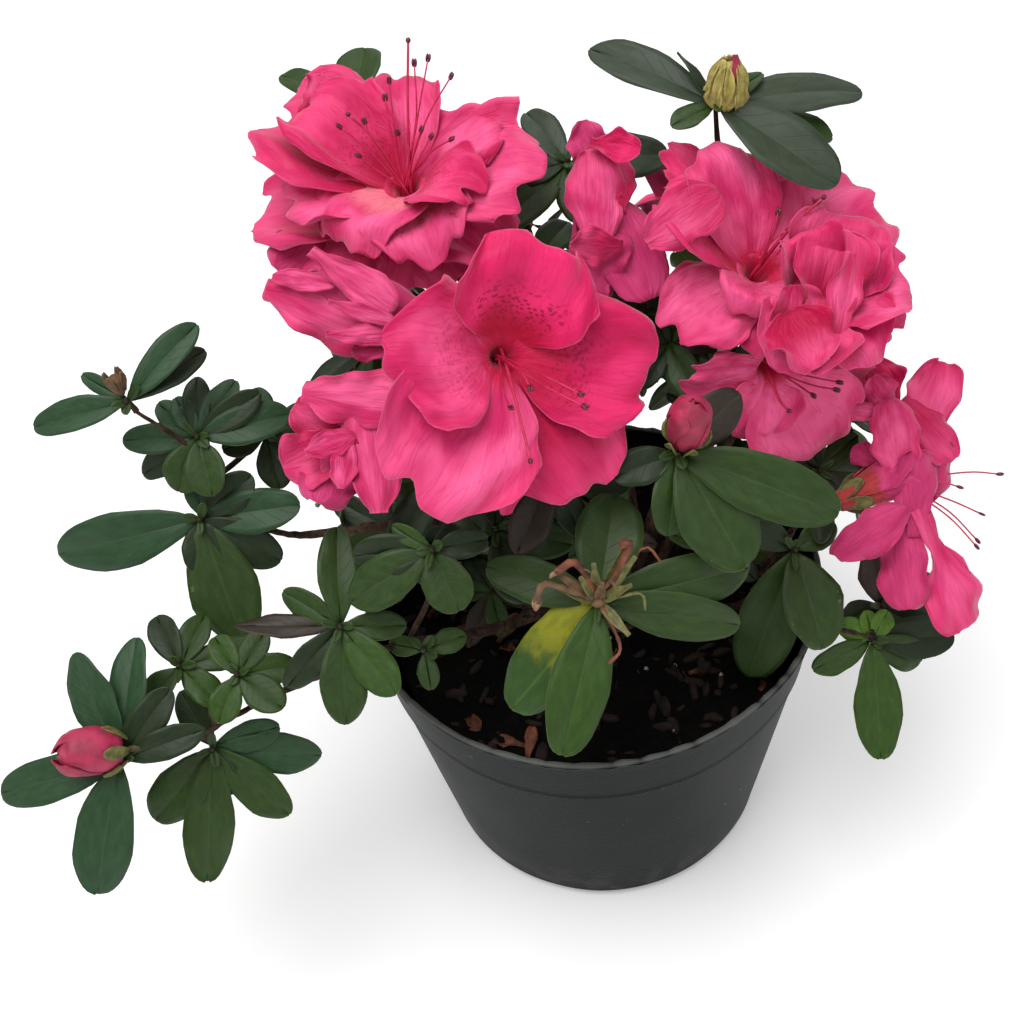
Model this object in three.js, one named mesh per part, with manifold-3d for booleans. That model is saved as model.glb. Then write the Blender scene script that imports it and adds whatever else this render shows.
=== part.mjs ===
// A potted azalea in bloom: a thin nursery pot of soil, a short woody stem that forks into
// limbs, rosettes of leaves at the limbs' ends, and large ruffled blooms above them.
// Millimetres, +Z up. The origin is the centre of the pot's flat underside, and -Y is the front.
import * as THREE from "three";
import { mergeVertices } from "three/addons/utils/BufferGeometryUtils.js";
import Module from "manifold-3d";

const wasm = await Module();
wasm.setup();

// ---- Driving dimensions ----------------------------------------------------------------
const GAP = 0.4; // the clearance kept between neighbouring solids
const POT = {
  height: 100,
  rimRadius: 70,
  footRadius: 53,
  footRound: 6, // radius of the rounded edge round the foot
  bandDepth: 21, // the plain band under the rim ends in a small step
  bandStep: 0.7,
  wall: 1.6,
  floor: 2.4,
  sides: 32,
  drainHoles: 6,
  drainRadius: 4,
  drainCircle: 34,
};
const SOIL = { top: 80, mound: 2.2, sides: 24 };
const STEM = { at: [13, 1], flare: 7.5, radius: 4.4, tip: 3.4, height: 25, lean: 3 };
const LIMB_SIDES = 6;
const LIMB_STEP = 14; // length of one straight piece of a limb
// A rosette: how far it reaches between leaves and at a leaf's shoulders, as shares of the
// leaves' length, how far round from a leaf's tip its shoulders lie, and its thickness.
const ROSETTE = { hub: 0.45, shoulder: 0.84, shoulderTurn: 21, thick: 0.2, minThick: 3.5 };

// ---- Colours and finishes --------------------------------------------------------------
const finish = (color, roughness) =>
  new THREE.MeshStandardMaterial({ color, roughness, metalness: 0 });
const materials = {
  pot: finish(0x35383a, 0.6),
  soil: finish(0x241a13, 0.95),
  bark: finish(0x5a3f30, 0.85),
  leaf: finish(0x3f6b35, 0.6),
  petal: finish(0xe8427c, 0.55),
  bud: finish(0xd2476f, 0.55),
};

// ---- Solids and the scene graph --------------------------------------------------------
const plant = new THREE.Group();
const placed = []; // every solid so far, grown by GAP, which later ones are cut to clear

function solidOf(geometry) {
  const bare = geometry.index ? geometry.toNonIndexed() : geometry.clone();
  bare.deleteAttribute("normal");
  bare.deleteAttribute("uv");
  const merged = mergeVertices(bare, 1e-3);
  return new wasm.Manifold(
    new wasm.Mesh({
      numProp: 3,
      vertProperties: merged.attributes.position.array,
      triVerts: new Uint32Array(merged.index.array),
    }),
  );
}

function geometryOf(solid) {
  const mesh = solid.getMesh();
  return new THREE.BufferGeometry()
    .setAttribute(
      "position",
      new THREE.BufferAttribute(new Float32Array(mesh.vertProperties), 3),
    )
    .setIndex(new THREE.BufferAttribute(new Uint32Array(mesh.triVerts), 1));
}

// Adds a named mesh at a point. shape(grow) gives its geometry round that point, each face
// moved out by about grow. It is cut clear of all that was added before, and its largest
// piece is kept.
function add(group, name, material, at, shape) {
  const place = new THREE.Matrix4().makeTranslation(...at);
  let solid = solidOf(shape(0).applyMatrix4(place));
  for (const other of placed) {
    if (solid.intersect(other).volume() > 0) solid = solid.subtract(other);
  }
  const pieces = solid.decompose().sort((a, b) => b.volume() - a.volume());
  const kept = pieces.length > 1 ? pieces[0] : solid;
  placed.push(solidOf(shape(GAP).applyMatrix4(place)));
  const mesh = new THREE.Mesh(
    geometryOf(kept).applyMatrix4(place.invert()),
    material,
  );
  mesh.name = name;
  mesh.position.set(...at);
  group.add(mesh);
}

function subgroup() {
  const group = new THREE.Group();
  plant.add(group);
  return group;
}

// Moves every vertex of a geometry: change(point) alters the point in place.
function reshape(geometry, change) {
  const position = geometry.attributes.position;
  const point = new THREE.Vector3();
  for (let i = 0; i < position.count; i++) {
    point.fromBufferAttribute(position, i);
    change(point);
    position.setXYZ(i, point.x, point.y, point.z);
  }
  return geometry;
}

// The turn that takes +Y to the facing direction, with -Z upwards and +X to the right as seen
// from the front. Upwards leans back and to the right, as the whole plant does.
const UPWARDS = new THREE.Vector3(0.125, 0.7, 0.7);
function facingMatrix(facing) {
  const out = new THREE.Vector3(...facing).normalize();
  const right = new THREE.Vector3().crossVectors(UPWARDS, out).normalize();
  const down = new THREE.Vector3().crossVectors(right, out);
  return new THREE.Matrix4().makeBasis(right, out, down);
}

// ---- Pot and soil ----------------------------------------------------------------------
const wallSlope =
  (POT.rimRadius - POT.footRadius) / (POT.height - POT.footRound);
const wallRadius = (z) =>
  POT.footRadius + wallSlope * Math.max(0, z - POT.footRound);

function potProfile(grow) {
  const bandZ = POT.height - POT.bandDepth;
  const outside = [];
  const roundSteps = 2;
  for (let i = 0; i <= roundSteps; i++) {
    const turn = ((Math.PI / 2) * i) / roundSteps;
    outside.push([
      POT.footRadius - POT.footRound * (1 - Math.sin(turn)),
      POT.footRound * (1 - Math.cos(turn)),
    ]);
  }
  outside.push(
    [wallRadius(bandZ) - POT.bandStep, bandZ - 1],
    [wallRadius(bandZ), bandZ],
    [POT.rimRadius, POT.height - 0.6],
  );
  const inside = [
    [POT.rimRadius - POT.wall, POT.height],
    [wallRadius(bandZ) - POT.wall - POT.bandStep, bandZ],
    [POT.footRadius - POT.wall, POT.footRound + 1],
    [POT.footRadius - POT.footRound, POT.floor],
  ];
  return [
    new THREE.Vector2(0, -grow),
    ...outside.map(([r, z]) => new THREE.Vector2(r + grow, z)),
    new THREE.Vector2(POT.rimRadius - 0.6, POT.height + grow),
    ...inside.map(([r, z]) => new THREE.Vector2(r - grow, z + grow)),
    new THREE.Vector2(0, POT.floor + grow),
  ];
}

// Lathes turn about +Y, and the pot stands along +Z.
const upright = (geometry) => geometry.rotateX(Math.PI / 2);

function potGeometry(grow) {
  let pot = solidOf(
    upright(new THREE.LatheGeometry(potProfile(grow), POT.sides)),
  );
  for (let i = 0; i < POT.drainHoles; i++) {
    const angle = (2 * Math.PI * i) / POT.drainHoles;
    const hole = upright(
      new THREE.CylinderGeometry(POT.drainRadius, POT.drainRadius, 12, 8),
    ).translate(
      POT.drainCircle * Math.cos(angle),
      POT.drainCircle * Math.sin(angle),
      0,
    );
    pot = pot.subtract(solidOf(hole));
  }
  return geometryOf(pot);
}

// The soil fills the pot to an uneven top, a little mounded towards the stem.
function soilGeometry(grow) {
  const inside = (z) =>
    wallRadius(z) - POT.wall - POT.bandStep - 3 * GAP + grow;
  const points = [
    new THREE.Vector2(0, POT.floor + 2 * GAP),
    new THREE.Vector2(
      POT.footRadius - POT.footRound - 3 * GAP,
      POT.floor + 2 * GAP,
    ),
    new THREE.Vector2(inside(POT.footRound), POT.footRound + 3),
    new THREE.Vector2(inside(SOIL.top - 4), SOIL.top - 4 + grow),
    new THREE.Vector2(0.66 * inside(SOIL.top), SOIL.top - 1 + grow),
    new THREE.Vector2(0.33 * inside(SOIL.top), SOIL.top + grow),
    new THREE.Vector2(0, SOIL.top + grow),
  ];
  const soil = upright(new THREE.LatheGeometry(points, SOIL.sides));
  return reshape(soil, (p) => {
    if (p.z < SOIL.top - 2) return;
    p.z +=
      (SOIL.mound * (Math.sin(0.13 * p.x + 1) + Math.cos(0.11 * p.y))) / 2;
  });
}

// ---- Stem and limbs --------------------------------------------------------------------
// A limb is a capped cylinder bent along a smooth curve, tapering from its foot to its tip.
function limbGeometry(route, footRadius, tipRadius, grow) {
  const curve = new THREE.CatmullRomCurve3(
    route.map((p) => new THREE.Vector3(...p)),
    false,
    "centripetal",
  );
  const steps = Math.max(3, Math.round(curve.getLength() / LIMB_STEP));
  const frames = curve.computeFrenetFrames(steps, false);
  const tube = new THREE.CylinderGeometry(1, 1, 1, LIMB_SIDES, steps);
  return reshape(tube, (p) => {
    const i = Math.round((p.y + 0.5) * steps);
    const radius =
      THREE.MathUtils.lerp(footRadius, tipRadius, i / steps) + grow;
    const past = i === steps ? grow : i === 0 ? -grow : 0;
    const [x, z] = [p.x * radius, p.z * radius];
    p.copy(curve.getPointAt(i / steps))
      .addScaledVector(frames.normals[i], z)
      .addScaledVector(frames.binormals[i], x)
      .addScaledVector(frames.tangents[i], past);
  });
}

function stemGeometry(grow) {
  const rings = 4;
  const stem = upright(
    new THREE.CylinderGeometry(1, 1, STEM.height, 10, rings),
  ).translate(0, 0, STEM.height / 2);
  return reshape(stem, (p) => {
    const along = p.z / STEM.height;
    const straight = THREE.MathUtils.lerp(STEM.radius, STEM.tip, along);
    const flare = (STEM.flare - STEM.radius) * (1 - along) ** 4;
    const lobes = 1 + 0.12 * (1 - along) * Math.cos(5 * Math.atan2(p.y, p.x));
    p.x = p.x * (straight + flare + grow) * lobes + STEM.lean * along * along;
    p.y = p.y * (straight + flare + grow) * lobes;
    if (along > 0.99) p.z += grow;
  });
}

// Each limb: the points that it passes through, its radius at the foot and at the tip.
const limbs = {
  limb_left_front: [
    [[12, -1, 98], [-4, -16, 109], [-28, -31, 116], [-50, -39, 124], [-62, -44, 128]],
    3.1,
    1.7,
  ],
  limb_left_low: [
    [[-63, -44, 127], [-76, -43, 121], [-98, -48, 116], [-113, -54, 113]],
    1.6,
    1.0,
  ],
  limb_left_upper: [
    [[12, 2, 100], [-14, -2, 124], [-40, -7, 137], [-62, -7, 138], [-84, -3, 135], [-97, 0, 139]],
    2.9,
    1.5,
  ],
  limb_left_tip: [
    [[-97, 1, 140], [-101, 4, 152], [-108, 5, 168], [-117, 5, 180]],
    1.4,
    0.9,
  ],
  limb_front: [
    [[15, -5, 99], [13, -20, 107], [9, -33, 113], [2, -43, 124], [-1, -48, 137]],
    2.1,
    1.2,
  ],
  limb_right: [
    [[19, -3, 88], [34, -14, 91], [46, -20, 101], [51, -21, 113], [54, -19, 119]],
    3.2,
    1.8,
  ],
  limb_right_low: [
    [[44, -20, 98], [54, -32, 104], [66, -36, 103], [78, -36, 97]],
    1.4,
    0.9,
  ],
  limb_centre: [
    [[12, -3, 104], [2, -6, 128], [-12, -8, 158], [-23, -8, 184]],
    2.4,
    1.5,
  ],
  limb_top_left: [
    [[13, 4, 103], [0, 12, 130], [-18, 21, 158], [-31, 29, 176], [-37, 34, 193]],
    2.6,
    1.5,
  ],
  limb_top_back: [
    [[-28, 29, 168], [-36, 50, 188], [-46, 70, 206], [-50, 79, 214]],
    1.4,
    0.9,
  ],
  limb_top_centre: [
    [[16, 5, 104], [13, 17, 140], [10, 30, 172], [9, 40, 200]],
    2.4,
    1.3,
  ],
  limb_top_right: [
    [[18, 3, 104], [30, 12, 140], [40, 26, 180], [45, 34, 216]],
    2.7,
    1.5,
  ],
  limb_right_high: [
    [[21, 2, 99], [36, 3, 128], [48, 3, 156], [56, 2, 172]],
    2.4,
    1.4,
  ],
  limb_far_right: [
    [[49, -16, 108], [60, -11, 121], [68, -9, 131]],
    1.7,
    1.2,
  ],
  limb_back_left: [
    [[10, 5, 99], [-18, 28, 122], [-42, 46, 140]],
    2.2,
    1.2,
  ],
  limb_back_right: [
    [[19, 6, 97], [38, 28, 118], [54, 46, 136]],
    2.2,
    1.2,
  ],
};

// ---- Leaf rosettes and masses ----------------------------------------------------------
// A rosette is the flat whorl of leaves at a shoot's tip, with one lobe for each leaf: its
// angle in degrees, anticlockwise from the right as it is seen from the front, and its length.
// The rim has four columns for each leaf: the tip, a shoulder, the hub, and the next shoulder.
function rosetteRim(leaves) {
  const rim = [];
  leaves.forEach(([angle, length], i) => {
    const last = i === leaves.length - 1;
    const [nextAngle, nextLength] = leaves[last ? 0 : i + 1];
    const gap = nextAngle + (last ? 360 : 0) - angle;
    const turn = Math.min(ROSETTE.shoulderTurn, gap / 3);
    rim.push(
      [angle, length],
      [angle + turn, ROSETTE.shoulder * length],
      [angle + gap / 2, (ROSETTE.hub * (length + nextLength)) / 2],
      [angle + gap - turn, ROSETTE.shoulder * nextLength],
    );
  });
  return rim;
}

function rosetteGeometry({ leaves, facing }, grow) {
  const rim = rosetteRim(leaves);
  const longest = Math.max(...leaves.map((leaf) => leaf[1]));
  const thick = Math.max(ROSETTE.minThick, ROSETTE.thick * longest);
  const ball = new THREE.SphereGeometry(1, rim.length, 4);
  const shaped = reshape(ball, (p) => {
    const turn = Math.atan2(-p.z, p.x) / (2 * Math.PI);
    const column = (Math.round(turn * rim.length) + rim.length) % rim.length;
    const [angle, radius] = rim[column];
    const out = Math.hypot(p.x, p.z) * (radius + grow);
    p.x = out * Math.cos(THREE.MathUtils.degToRad(angle));
    p.z = -out * Math.sin(THREE.MathUtils.degToRad(angle));
    p.y *= thick + grow;
  });
  return shaped.applyMatrix4(facingMatrix(facing));
}

const rosettes = {
  // the upper spray on the left
  rosette_left_tip: {
    at: [-118, 5, 184],
    facing: [-0.1, -0.7, 0.7],
    leaves: [[50, 25], [158, 13], [194, 26]],
  },
  rosette_left_crown: {
    at: [-104, 8, 166],
    facing: [0.1, -0.7, 0.7],
    leaves: [[12, 24], [58, 17], [92, 15], [130, 14], [182, 20], [212, 18]],
  },
  rosette_left_crest: {
    at: [-88, 16, 157],
    facing: [0.3, -0.6, 0.7],
    leaves: [[25, 18], [100, 13], [200, 12], [330, 20]],
  },
  rosette_left_low: {
    at: [-107, -4, 147],
    facing: [0, -0.8, 0.6],
    leaves: [[8, 27], [95, 12], [191, 43], [264, 14], [292, 35]],
  },
  // the lower spray on the left, in front of the rim
  rosette_left_bud: {
    at: [-132, -60, 116],
    facing: [-0.1, -0.7, 0.7],
    leaves: [[20, 23], [82, 32], [110, 29], [197, 36], [258, 36]],
  },
  rosette_left_fan: {
    at: [-111, -52, 106],
    facing: [0.1, -0.8, 0.6],
    leaves: [[16, 18], [118, 17], [233, 26], [267, 38], [316, 28], [352, 29]],
  },
  rosette_left_top: {
    at: [-117, -36, 122],
    facing: [0, -0.5, 0.85],
    leaves: [[18, 19], [71, 12], [120, 13], [228, 10]],
  },
  rosette_left_small: {
    at: [-100, -43, 124],
    facing: [0, -0.5, 0.85],
    leaves: [[10, 12], [60, 9], [125, 9], [250, 8], [325, 11]],
  },
  rosette_left_inner: {
    at: [-69, -45, 141],
    facing: [0, -0.7, 0.7],
    leaves: [[0, 16], [94, 25], [150, 16], [180, 27], [228, 20], [273, 25], [310, 21]],
  },
  // the front, over the soil
  rosette_front_left: {
    at: [-42, -42, 162],
    facing: [-0.1, -0.7, 0.7],
    leaves: [[10, 13], [185, 20], [212, 24], [293, 15]],
  },
  rosette_front_sprig: {
    at: [-49, -44, 126],
    facing: [0, -0.6, 0.8],
    leaves: [[20, 11], [170, 9], [280, 9]],
  },
  rosette_front: {
    at: [-2, -50, 144],
    facing: [0, -0.7, 0.7],
    leaves: [[12, 38], [80, 26], [163, 29], [230, 38], [257, 40], [350, 36]],
  },
  rosette_front_mid: {
    at: [-26, -27, 151],
    facing: [0, -0.6, 0.8],
    leaves: [[90, 16], [190, 16], [290, 20], [350, 20]],
  },
  // the right
  rosette_front_right: {
    at: [22, -30, 173],
    facing: [0.1, -0.7, 0.7],
    leaves: [[43, 22], [200, 16], [265, 20], [302, 33], [340, 43]],
  },
  rosette_right: {
    at: [57, -20, 121],
    facing: [0.1, -0.75, 0.65],
    leaves: [[30, 14], [150, 14], [254, 38], [288, 30]],
  },
  rosette_right_low: {
    at: [78, -34, 93],
    facing: [0.1, -0.7, 0.7],
    leaves: [[3, 25], [150, 9], [207, 17], [275, 33], [340, 17]],
  },
  rosette_right_dark: {
    at: [83, -24, 96],
    facing: [0.3, -0.6, 0.6],
    leaves: [[20, 20], [100, 16], [200, 12], [330, 22]],
  },
  // above and between the blooms
  rosette_top_right: {
    at: [44, 35, 231],
    facing: [0, -0.4, 0.9],
    leaves: [[10, 37], [85, 10], [148, 36], [207, 12], [329, 36]],
  },
  rosette_top_centre: {
    at: [6, 48, 212],
    facing: [0, -0.4, 0.9],
    leaves: [[8, 27], [122, 21], [165, 14], [226, 30], [280, 18]],
  },
  rosette_top_left: {
    at: [-52, 84, 218],
    facing: [-0.1, 0, 1],
    leaves: [[20, 16], [90, 20], [160, 22], [265, 12]],
  },
};

// A mass is an uneven ball of foliage, where shoots stand too close to tell apart.
function massGeometry({ size, lumps, detail = 1 }, grow) {
  return reshape(new THREE.IcosahedronGeometry(1, detail), (p) => {
    const uneven =
      1 +
      0.1 * Math.sin(lumps * p.x + 2 * p.z) +
      0.08 * Math.cos(lumps * p.y - 1.7 * p.x + lumps);
    p.set(
      p.x * (size[0] * uneven + grow),
      p.y * (size[1] * uneven + grow),
      p.z * (size[2] * uneven + grow),
    );
  });
}

const masses = {
  mass_back_left: { at: [-42, 54, 142], size: [27, 26, 27], lumps: 5, detail: 2 },
  mass_back: { at: [4, 64, 146], size: [28, 24, 32], lumps: 4.5, detail: 2 },
  mass_back_right: { at: [62, 50, 142], size: [28, 28, 30], lumps: 5.5, detail: 2 },
  mass_left: { at: [-50, 20, 122], size: [22, 24, 22], lumps: 5 },
  mass_right: { at: [66, 16, 124], size: [22, 24, 28], lumps: 4 },
};

// ---- Blooms and buds -------------------------------------------------------------------
// An open bloom: a narrow tube that flares to five wavy lobes. The point it stands at is its
// throat. rake lifts the lobes forward, or folds them back if it is negative.
function bloomGeometry({ radius, tube, rake, turn = 90, facing }, grow) {
  const thick = 2.4 + grow;
  const profile = [
    new THREE.Vector2(0, -tube - grow),
    new THREE.Vector2(2.6 + grow, -tube - grow),
    new THREE.Vector2(5.5 + grow, -0.3 * tube - grow),
    new THREE.Vector2(0.55 * radius, 0.35 * rake - thick),
    new THREE.Vector2(radius + grow, rake - thick),
    new THREE.Vector2(radius + grow, rake + thick),
    new THREE.Vector2(0.5 * radius, 0.3 * rake + thick),
    new THREE.Vector2(0, thick - 3),
  ];
  const bloom = reshape(new THREE.LatheGeometry(profile, 20), (p) => {
    const angle = Math.atan2(-p.z, p.x) - THREE.MathUtils.degToRad(turn);
    const out = Math.min(1, Math.hypot(p.x, p.z) / radius);
    const lobe = 1 - 0.16 * out * (1 - Math.abs(Math.cos(2.5 * angle)) ** 0.8);
    p.x *= lobe;
    p.z *= lobe;
    p.y += 0.06 * radius * out * out * Math.cos(5 * angle + 1);
  });
  return bloom.applyMatrix4(facingMatrix(facing));
}

// A bud or a half-open bloom: an egg shape from its stalk to its tip, widest at `widest` of
// its length, with the furled petals as ridges.
function budGeometry({ radius, length, widest = 0.6, facing }, grow) {
  const rings = 5;
  const profile = [new THREE.Vector2(0, -grow)];
  for (let i = 1; i < rings; i++) {
    const along = i / rings;
    const bent = along ** (Math.log(0.5) / Math.log(widest));
    profile.push(
      new THREE.Vector2(
        radius * Math.sin(Math.PI * bent) ** 0.75 + grow,
        length * along,
      ),
    );
  }
  profile.push(new THREE.Vector2(0, length + grow));
  const bud = reshape(new THREE.LatheGeometry(profile, 10), (p) => {
    const ridge = 1 + 0.08 * Math.cos(5 * Math.atan2(p.z, p.x));
    p.x *= ridge;
    p.z *= ridge;
  });
  return bud.applyMatrix4(facingMatrix(facing));
}

const blooms = {
  bloom_front: {
    at: [-17, -27, 203],
    radius: 37, tube: 24, rake: 6,
    facing: [0.28, -0.72, 0.62],
    turn: 72,
  },
  bloom_top_left: {
    at: [-41, 35, 222],
    radius: 41, tube: 26, rake: 2,
    facing: [-0.12, -0.05, 1],
    turn: 100,
  },
  bloom_top_right: {
    at: [51, 12, 202],
    radius: 37, tube: 24, rake: 10,
    facing: [0.15, -0.35, 0.92],
    turn: 80,
  },
  bloom_far_right: {
    at: [82, -14, 132],
    radius: 39, tube: 14, rake: 14,
    facing: [0.93, -0.35, -0.05],
    turn: 100,
  },
  bloom_pendant: {
    at: [52, -16, 174],
    radius: 25, tube: 14, rake: 2,
    facing: [0.25, -0.95, 0.05],
    turn: 90,
  },
  bloom_back_left: {
    at: [-22, 84, 180],
    radius: 33, tube: 22, rake: 6,
    facing: [-0.2, 0.85, 0.5],
    turn: 60,
  },
  bloom_back_right: {
    at: [58, 80, 168],
    radius: 33, tube: 22, rake: 6,
    facing: [0.35, 0.8, 0.45],
    turn: 80,
  },
};

const buds = {
  bloom_right: {
    at: [64, -2, 178],
    radius: 20, length: 34, widest: 0.62,
    facing: [0.25, -0.35, 0.85],
  },
  bloom_half_left: {
    at: [-36, 0, 201],
    radius: 12, length: 40, widest: 0.5,
    facing: [-0.95, 0, 0.25],
  },
  bloom_half_low: {
    at: [-47, -8, 187],
    radius: 17, length: 36, widest: 0.6,
    facing: [-0.6, -0.3, -0.6],
  },
  bloom_top_centre: {
    at: [17, 14, 192],
    radius: 11, length: 46, widest: 0.6,
    facing: [-0.12, 0.3, 0.95],
  },
  bud_centre: {
    at: [24, -29, 175],
    radius: 7, length: 20, widest: 0.5,
    facing: [0.1, -0.2, 0.95],
  },
  bud_left: {
    at: [-130, -60, 120],
    radius: 8, length: 20, widest: 0.5,
    facing: [-0.93, -0.2, 0.3],
  },
  bud_top: {
    at: [46, 35, 232],
    radius: 6.5, length: 15, widest: 0.45,
    facing: [0.05, 0, 1],
  },
};

// ---- Assembly --------------------------------------------------------------------------
const container = subgroup();
add(container, "pot", materials.pot, [0, 0, 0], potGeometry);

const wood = subgroup();
add(wood, "stem", materials.bark, [...STEM.at, SOIL.top], stemGeometry);
for (const [name, [route, footRadius, tipRadius]] of Object.entries(limbs)) {
  const foot = route[0];
  const local = route.map((p) => p.map((v, i) => v - foot[i]));
  add(wood, name, materials.bark, foot, (grow) =>
    limbGeometry(local, footRadius, tipRadius, grow),
  );
}
add(container, "soil", materials.soil, [0, 0, 0], soilGeometry);

const flowers = subgroup();
for (const [name, spec] of Object.entries(blooms)) {
  add(flowers, name, materials.petal, spec.at, (grow) =>
    bloomGeometry(spec, grow),
  );
}
for (const [name, spec] of Object.entries(buds)) {
  const material = name.startsWith("bud") ? materials.bud : materials.petal;
  add(flowers, name, material, spec.at, (grow) => budGeometry(spec, grow));
}

const foliage = subgroup();
for (const [name, spec] of Object.entries(rosettes)) {
  add(foliage, name, materials.leaf, spec.at, (grow) =>
    rosetteGeometry(spec, grow),
  );
}
for (const [name, spec] of Object.entries(masses)) {
  add(foliage, name, materials.leaf, spec.at, (grow) =>
    massGeometry(spec, grow),
  );
}

export default plant;
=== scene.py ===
import math

import bmesh
import bpy
import numpy as np
from mathutils import Matrix, Vector


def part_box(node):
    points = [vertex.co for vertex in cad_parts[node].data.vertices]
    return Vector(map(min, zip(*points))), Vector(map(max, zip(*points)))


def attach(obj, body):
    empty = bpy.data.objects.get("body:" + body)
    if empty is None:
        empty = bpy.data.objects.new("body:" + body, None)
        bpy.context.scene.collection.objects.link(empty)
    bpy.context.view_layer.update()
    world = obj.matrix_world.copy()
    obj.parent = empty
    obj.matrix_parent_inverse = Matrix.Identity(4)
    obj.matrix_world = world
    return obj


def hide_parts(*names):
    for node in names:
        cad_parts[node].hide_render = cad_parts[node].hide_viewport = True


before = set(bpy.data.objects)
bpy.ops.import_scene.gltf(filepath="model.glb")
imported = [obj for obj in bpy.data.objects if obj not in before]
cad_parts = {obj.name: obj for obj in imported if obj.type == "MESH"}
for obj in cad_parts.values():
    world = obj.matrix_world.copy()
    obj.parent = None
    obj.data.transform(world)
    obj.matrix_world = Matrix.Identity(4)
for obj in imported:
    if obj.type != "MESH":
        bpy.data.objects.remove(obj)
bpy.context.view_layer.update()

MM = 0.001
FULL_TURN = 2 * math.pi
SEED = 11  # each thing adds numbers of its own, so that a change to one leaves the others alone
UPWARDS = np.array([0.125, 0.7, 0.7])  # the top of the picture, for someone in front
VIEWER = (0.0, -0.71, 0.70)  # the way towards someone in front
CAMERA = dict(target=(-21, 0, 130), distance=392, elevation=44.8, roll=-7.2, lens=47.46)


# ---- Vectors and places ----
CURVE_STEPS = 12  # points on each span of a curve before they are spaced evenly
ROUGH_WAVES = 6


def unit(vector):
    vector = np.asarray(vector, float)
    return vector / np.maximum(np.linalg.norm(vector, axis=-1, keepdims=True), 1e-9)


def plane(facing):
    """The right, up and outward directions of something that faces that way."""
    out = unit(facing)
    right = unit(np.cross(UPWARDS, out))
    return np.stack([right, np.cross(out, right), out])


VIEW = plane(VIEWER)


def box(node):
    """The lowest and the highest corner of a CAD node's box."""
    return [np.array(corner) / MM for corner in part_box(node)]


def spot(node, shares):
    """The point at those shares of a CAD node's box, from its lowest to its highest corner."""
    low, high = box(node)
    return low + np.array(shares) * (high - low)


def turned(angle):
    radians = math.radians(angle)
    return np.array([math.cos(radians), math.sin(radians), 0.0])


def view_axis(angle, lean):
    """A direction as it is seen from the front, leaning towards the viewer by lean degrees."""
    tilt = math.radians(lean)
    return turned(angle) @ VIEW * math.cos(tilt) + VIEW[2] * math.sin(tilt)


def ease(low, high, value):
    """0 below low, 1 above high, and smooth between."""
    share = np.clip((value - low) / (high - low), 0, 1)
    return share * share * (3 - 2 * share)


def smooth_line(points, count):
    """Points evenly along the Catmull-Rom curve through the given ones."""
    points = np.asarray(points, float)
    padded = np.vstack([2 * points[0] - points[1], points, 2 * points[-1] - points[-2]])
    t = np.linspace(0, 1, CURVE_STEPS, endpoint=False)[:, None]
    dense = []
    for a, b, c, d in zip(padded, padded[1:], padded[2:], padded[3:]):
        dense.append(
            0.5 * (2 * b + (c - a) * t + (2 * a - 5 * b + 4 * c - d) * t**2
                   + (3 * b - a - 3 * c + d) * t**3)
        )
    dense = np.vstack(dense + [points[-1:]])
    reach = np.concatenate([[0], np.cumsum(np.linalg.norm(np.diff(dense, axis=0), axis=1))])
    even = np.linspace(0, reach[-1], count)
    return np.stack([np.interp(even, reach, dense[:, k]) for k in range(dense.shape[1])], 1)


def rough(points, size, seed):
    """Smooth noise between about -1 and 1 at each point, with features of that size."""
    rng = np.random.default_rng(seed)
    total = 0
    for _ in range(ROUGH_WAVES):
        way = unit(rng.normal(size=3)) * FULL_TURN / size * rng.uniform(0.6, 1.5)
        total = total + np.sin(points @ way + rng.uniform(0, FULL_TURN))
    return total / (ROUGH_WAVES / 2)


# ---- Meshes ----
# What each point of a leaf or petal carries for its material: its shares of the length and of
# the half width, its blade's random tint, how crimson and flecked it is (or, below 0, how much
# painted light lightens it near its foot), how deeply crimson towards its foot (its own colour,
# and painted shade on petals that lie in shade), and whether it is on the underside.
VALUES = ("along", "across", "tint", "mark_and_glow", "deep_and_shade", "under")
CELL_MARGIN = 0.06  # left free round each cell of the texture layout, as a share of it


def grid_quads(index):
    """Quads over a grid of vertex numbers, facing along rows x columns."""
    corners = (index[:-1, :-1], index[1:, :-1], index[1:, 1:], index[:-1, 1:])
    return np.stack(corners, -1).reshape(-1, 4)


def closed_round(index):
    """A grid of vertex numbers with its first column again after its last."""
    return np.concatenate([index, index[:, :1]], 1)


def grid_normals(grid):
    return unit(np.cross(np.gradient(grid, axis=0), np.gradient(grid, axis=1)))


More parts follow.
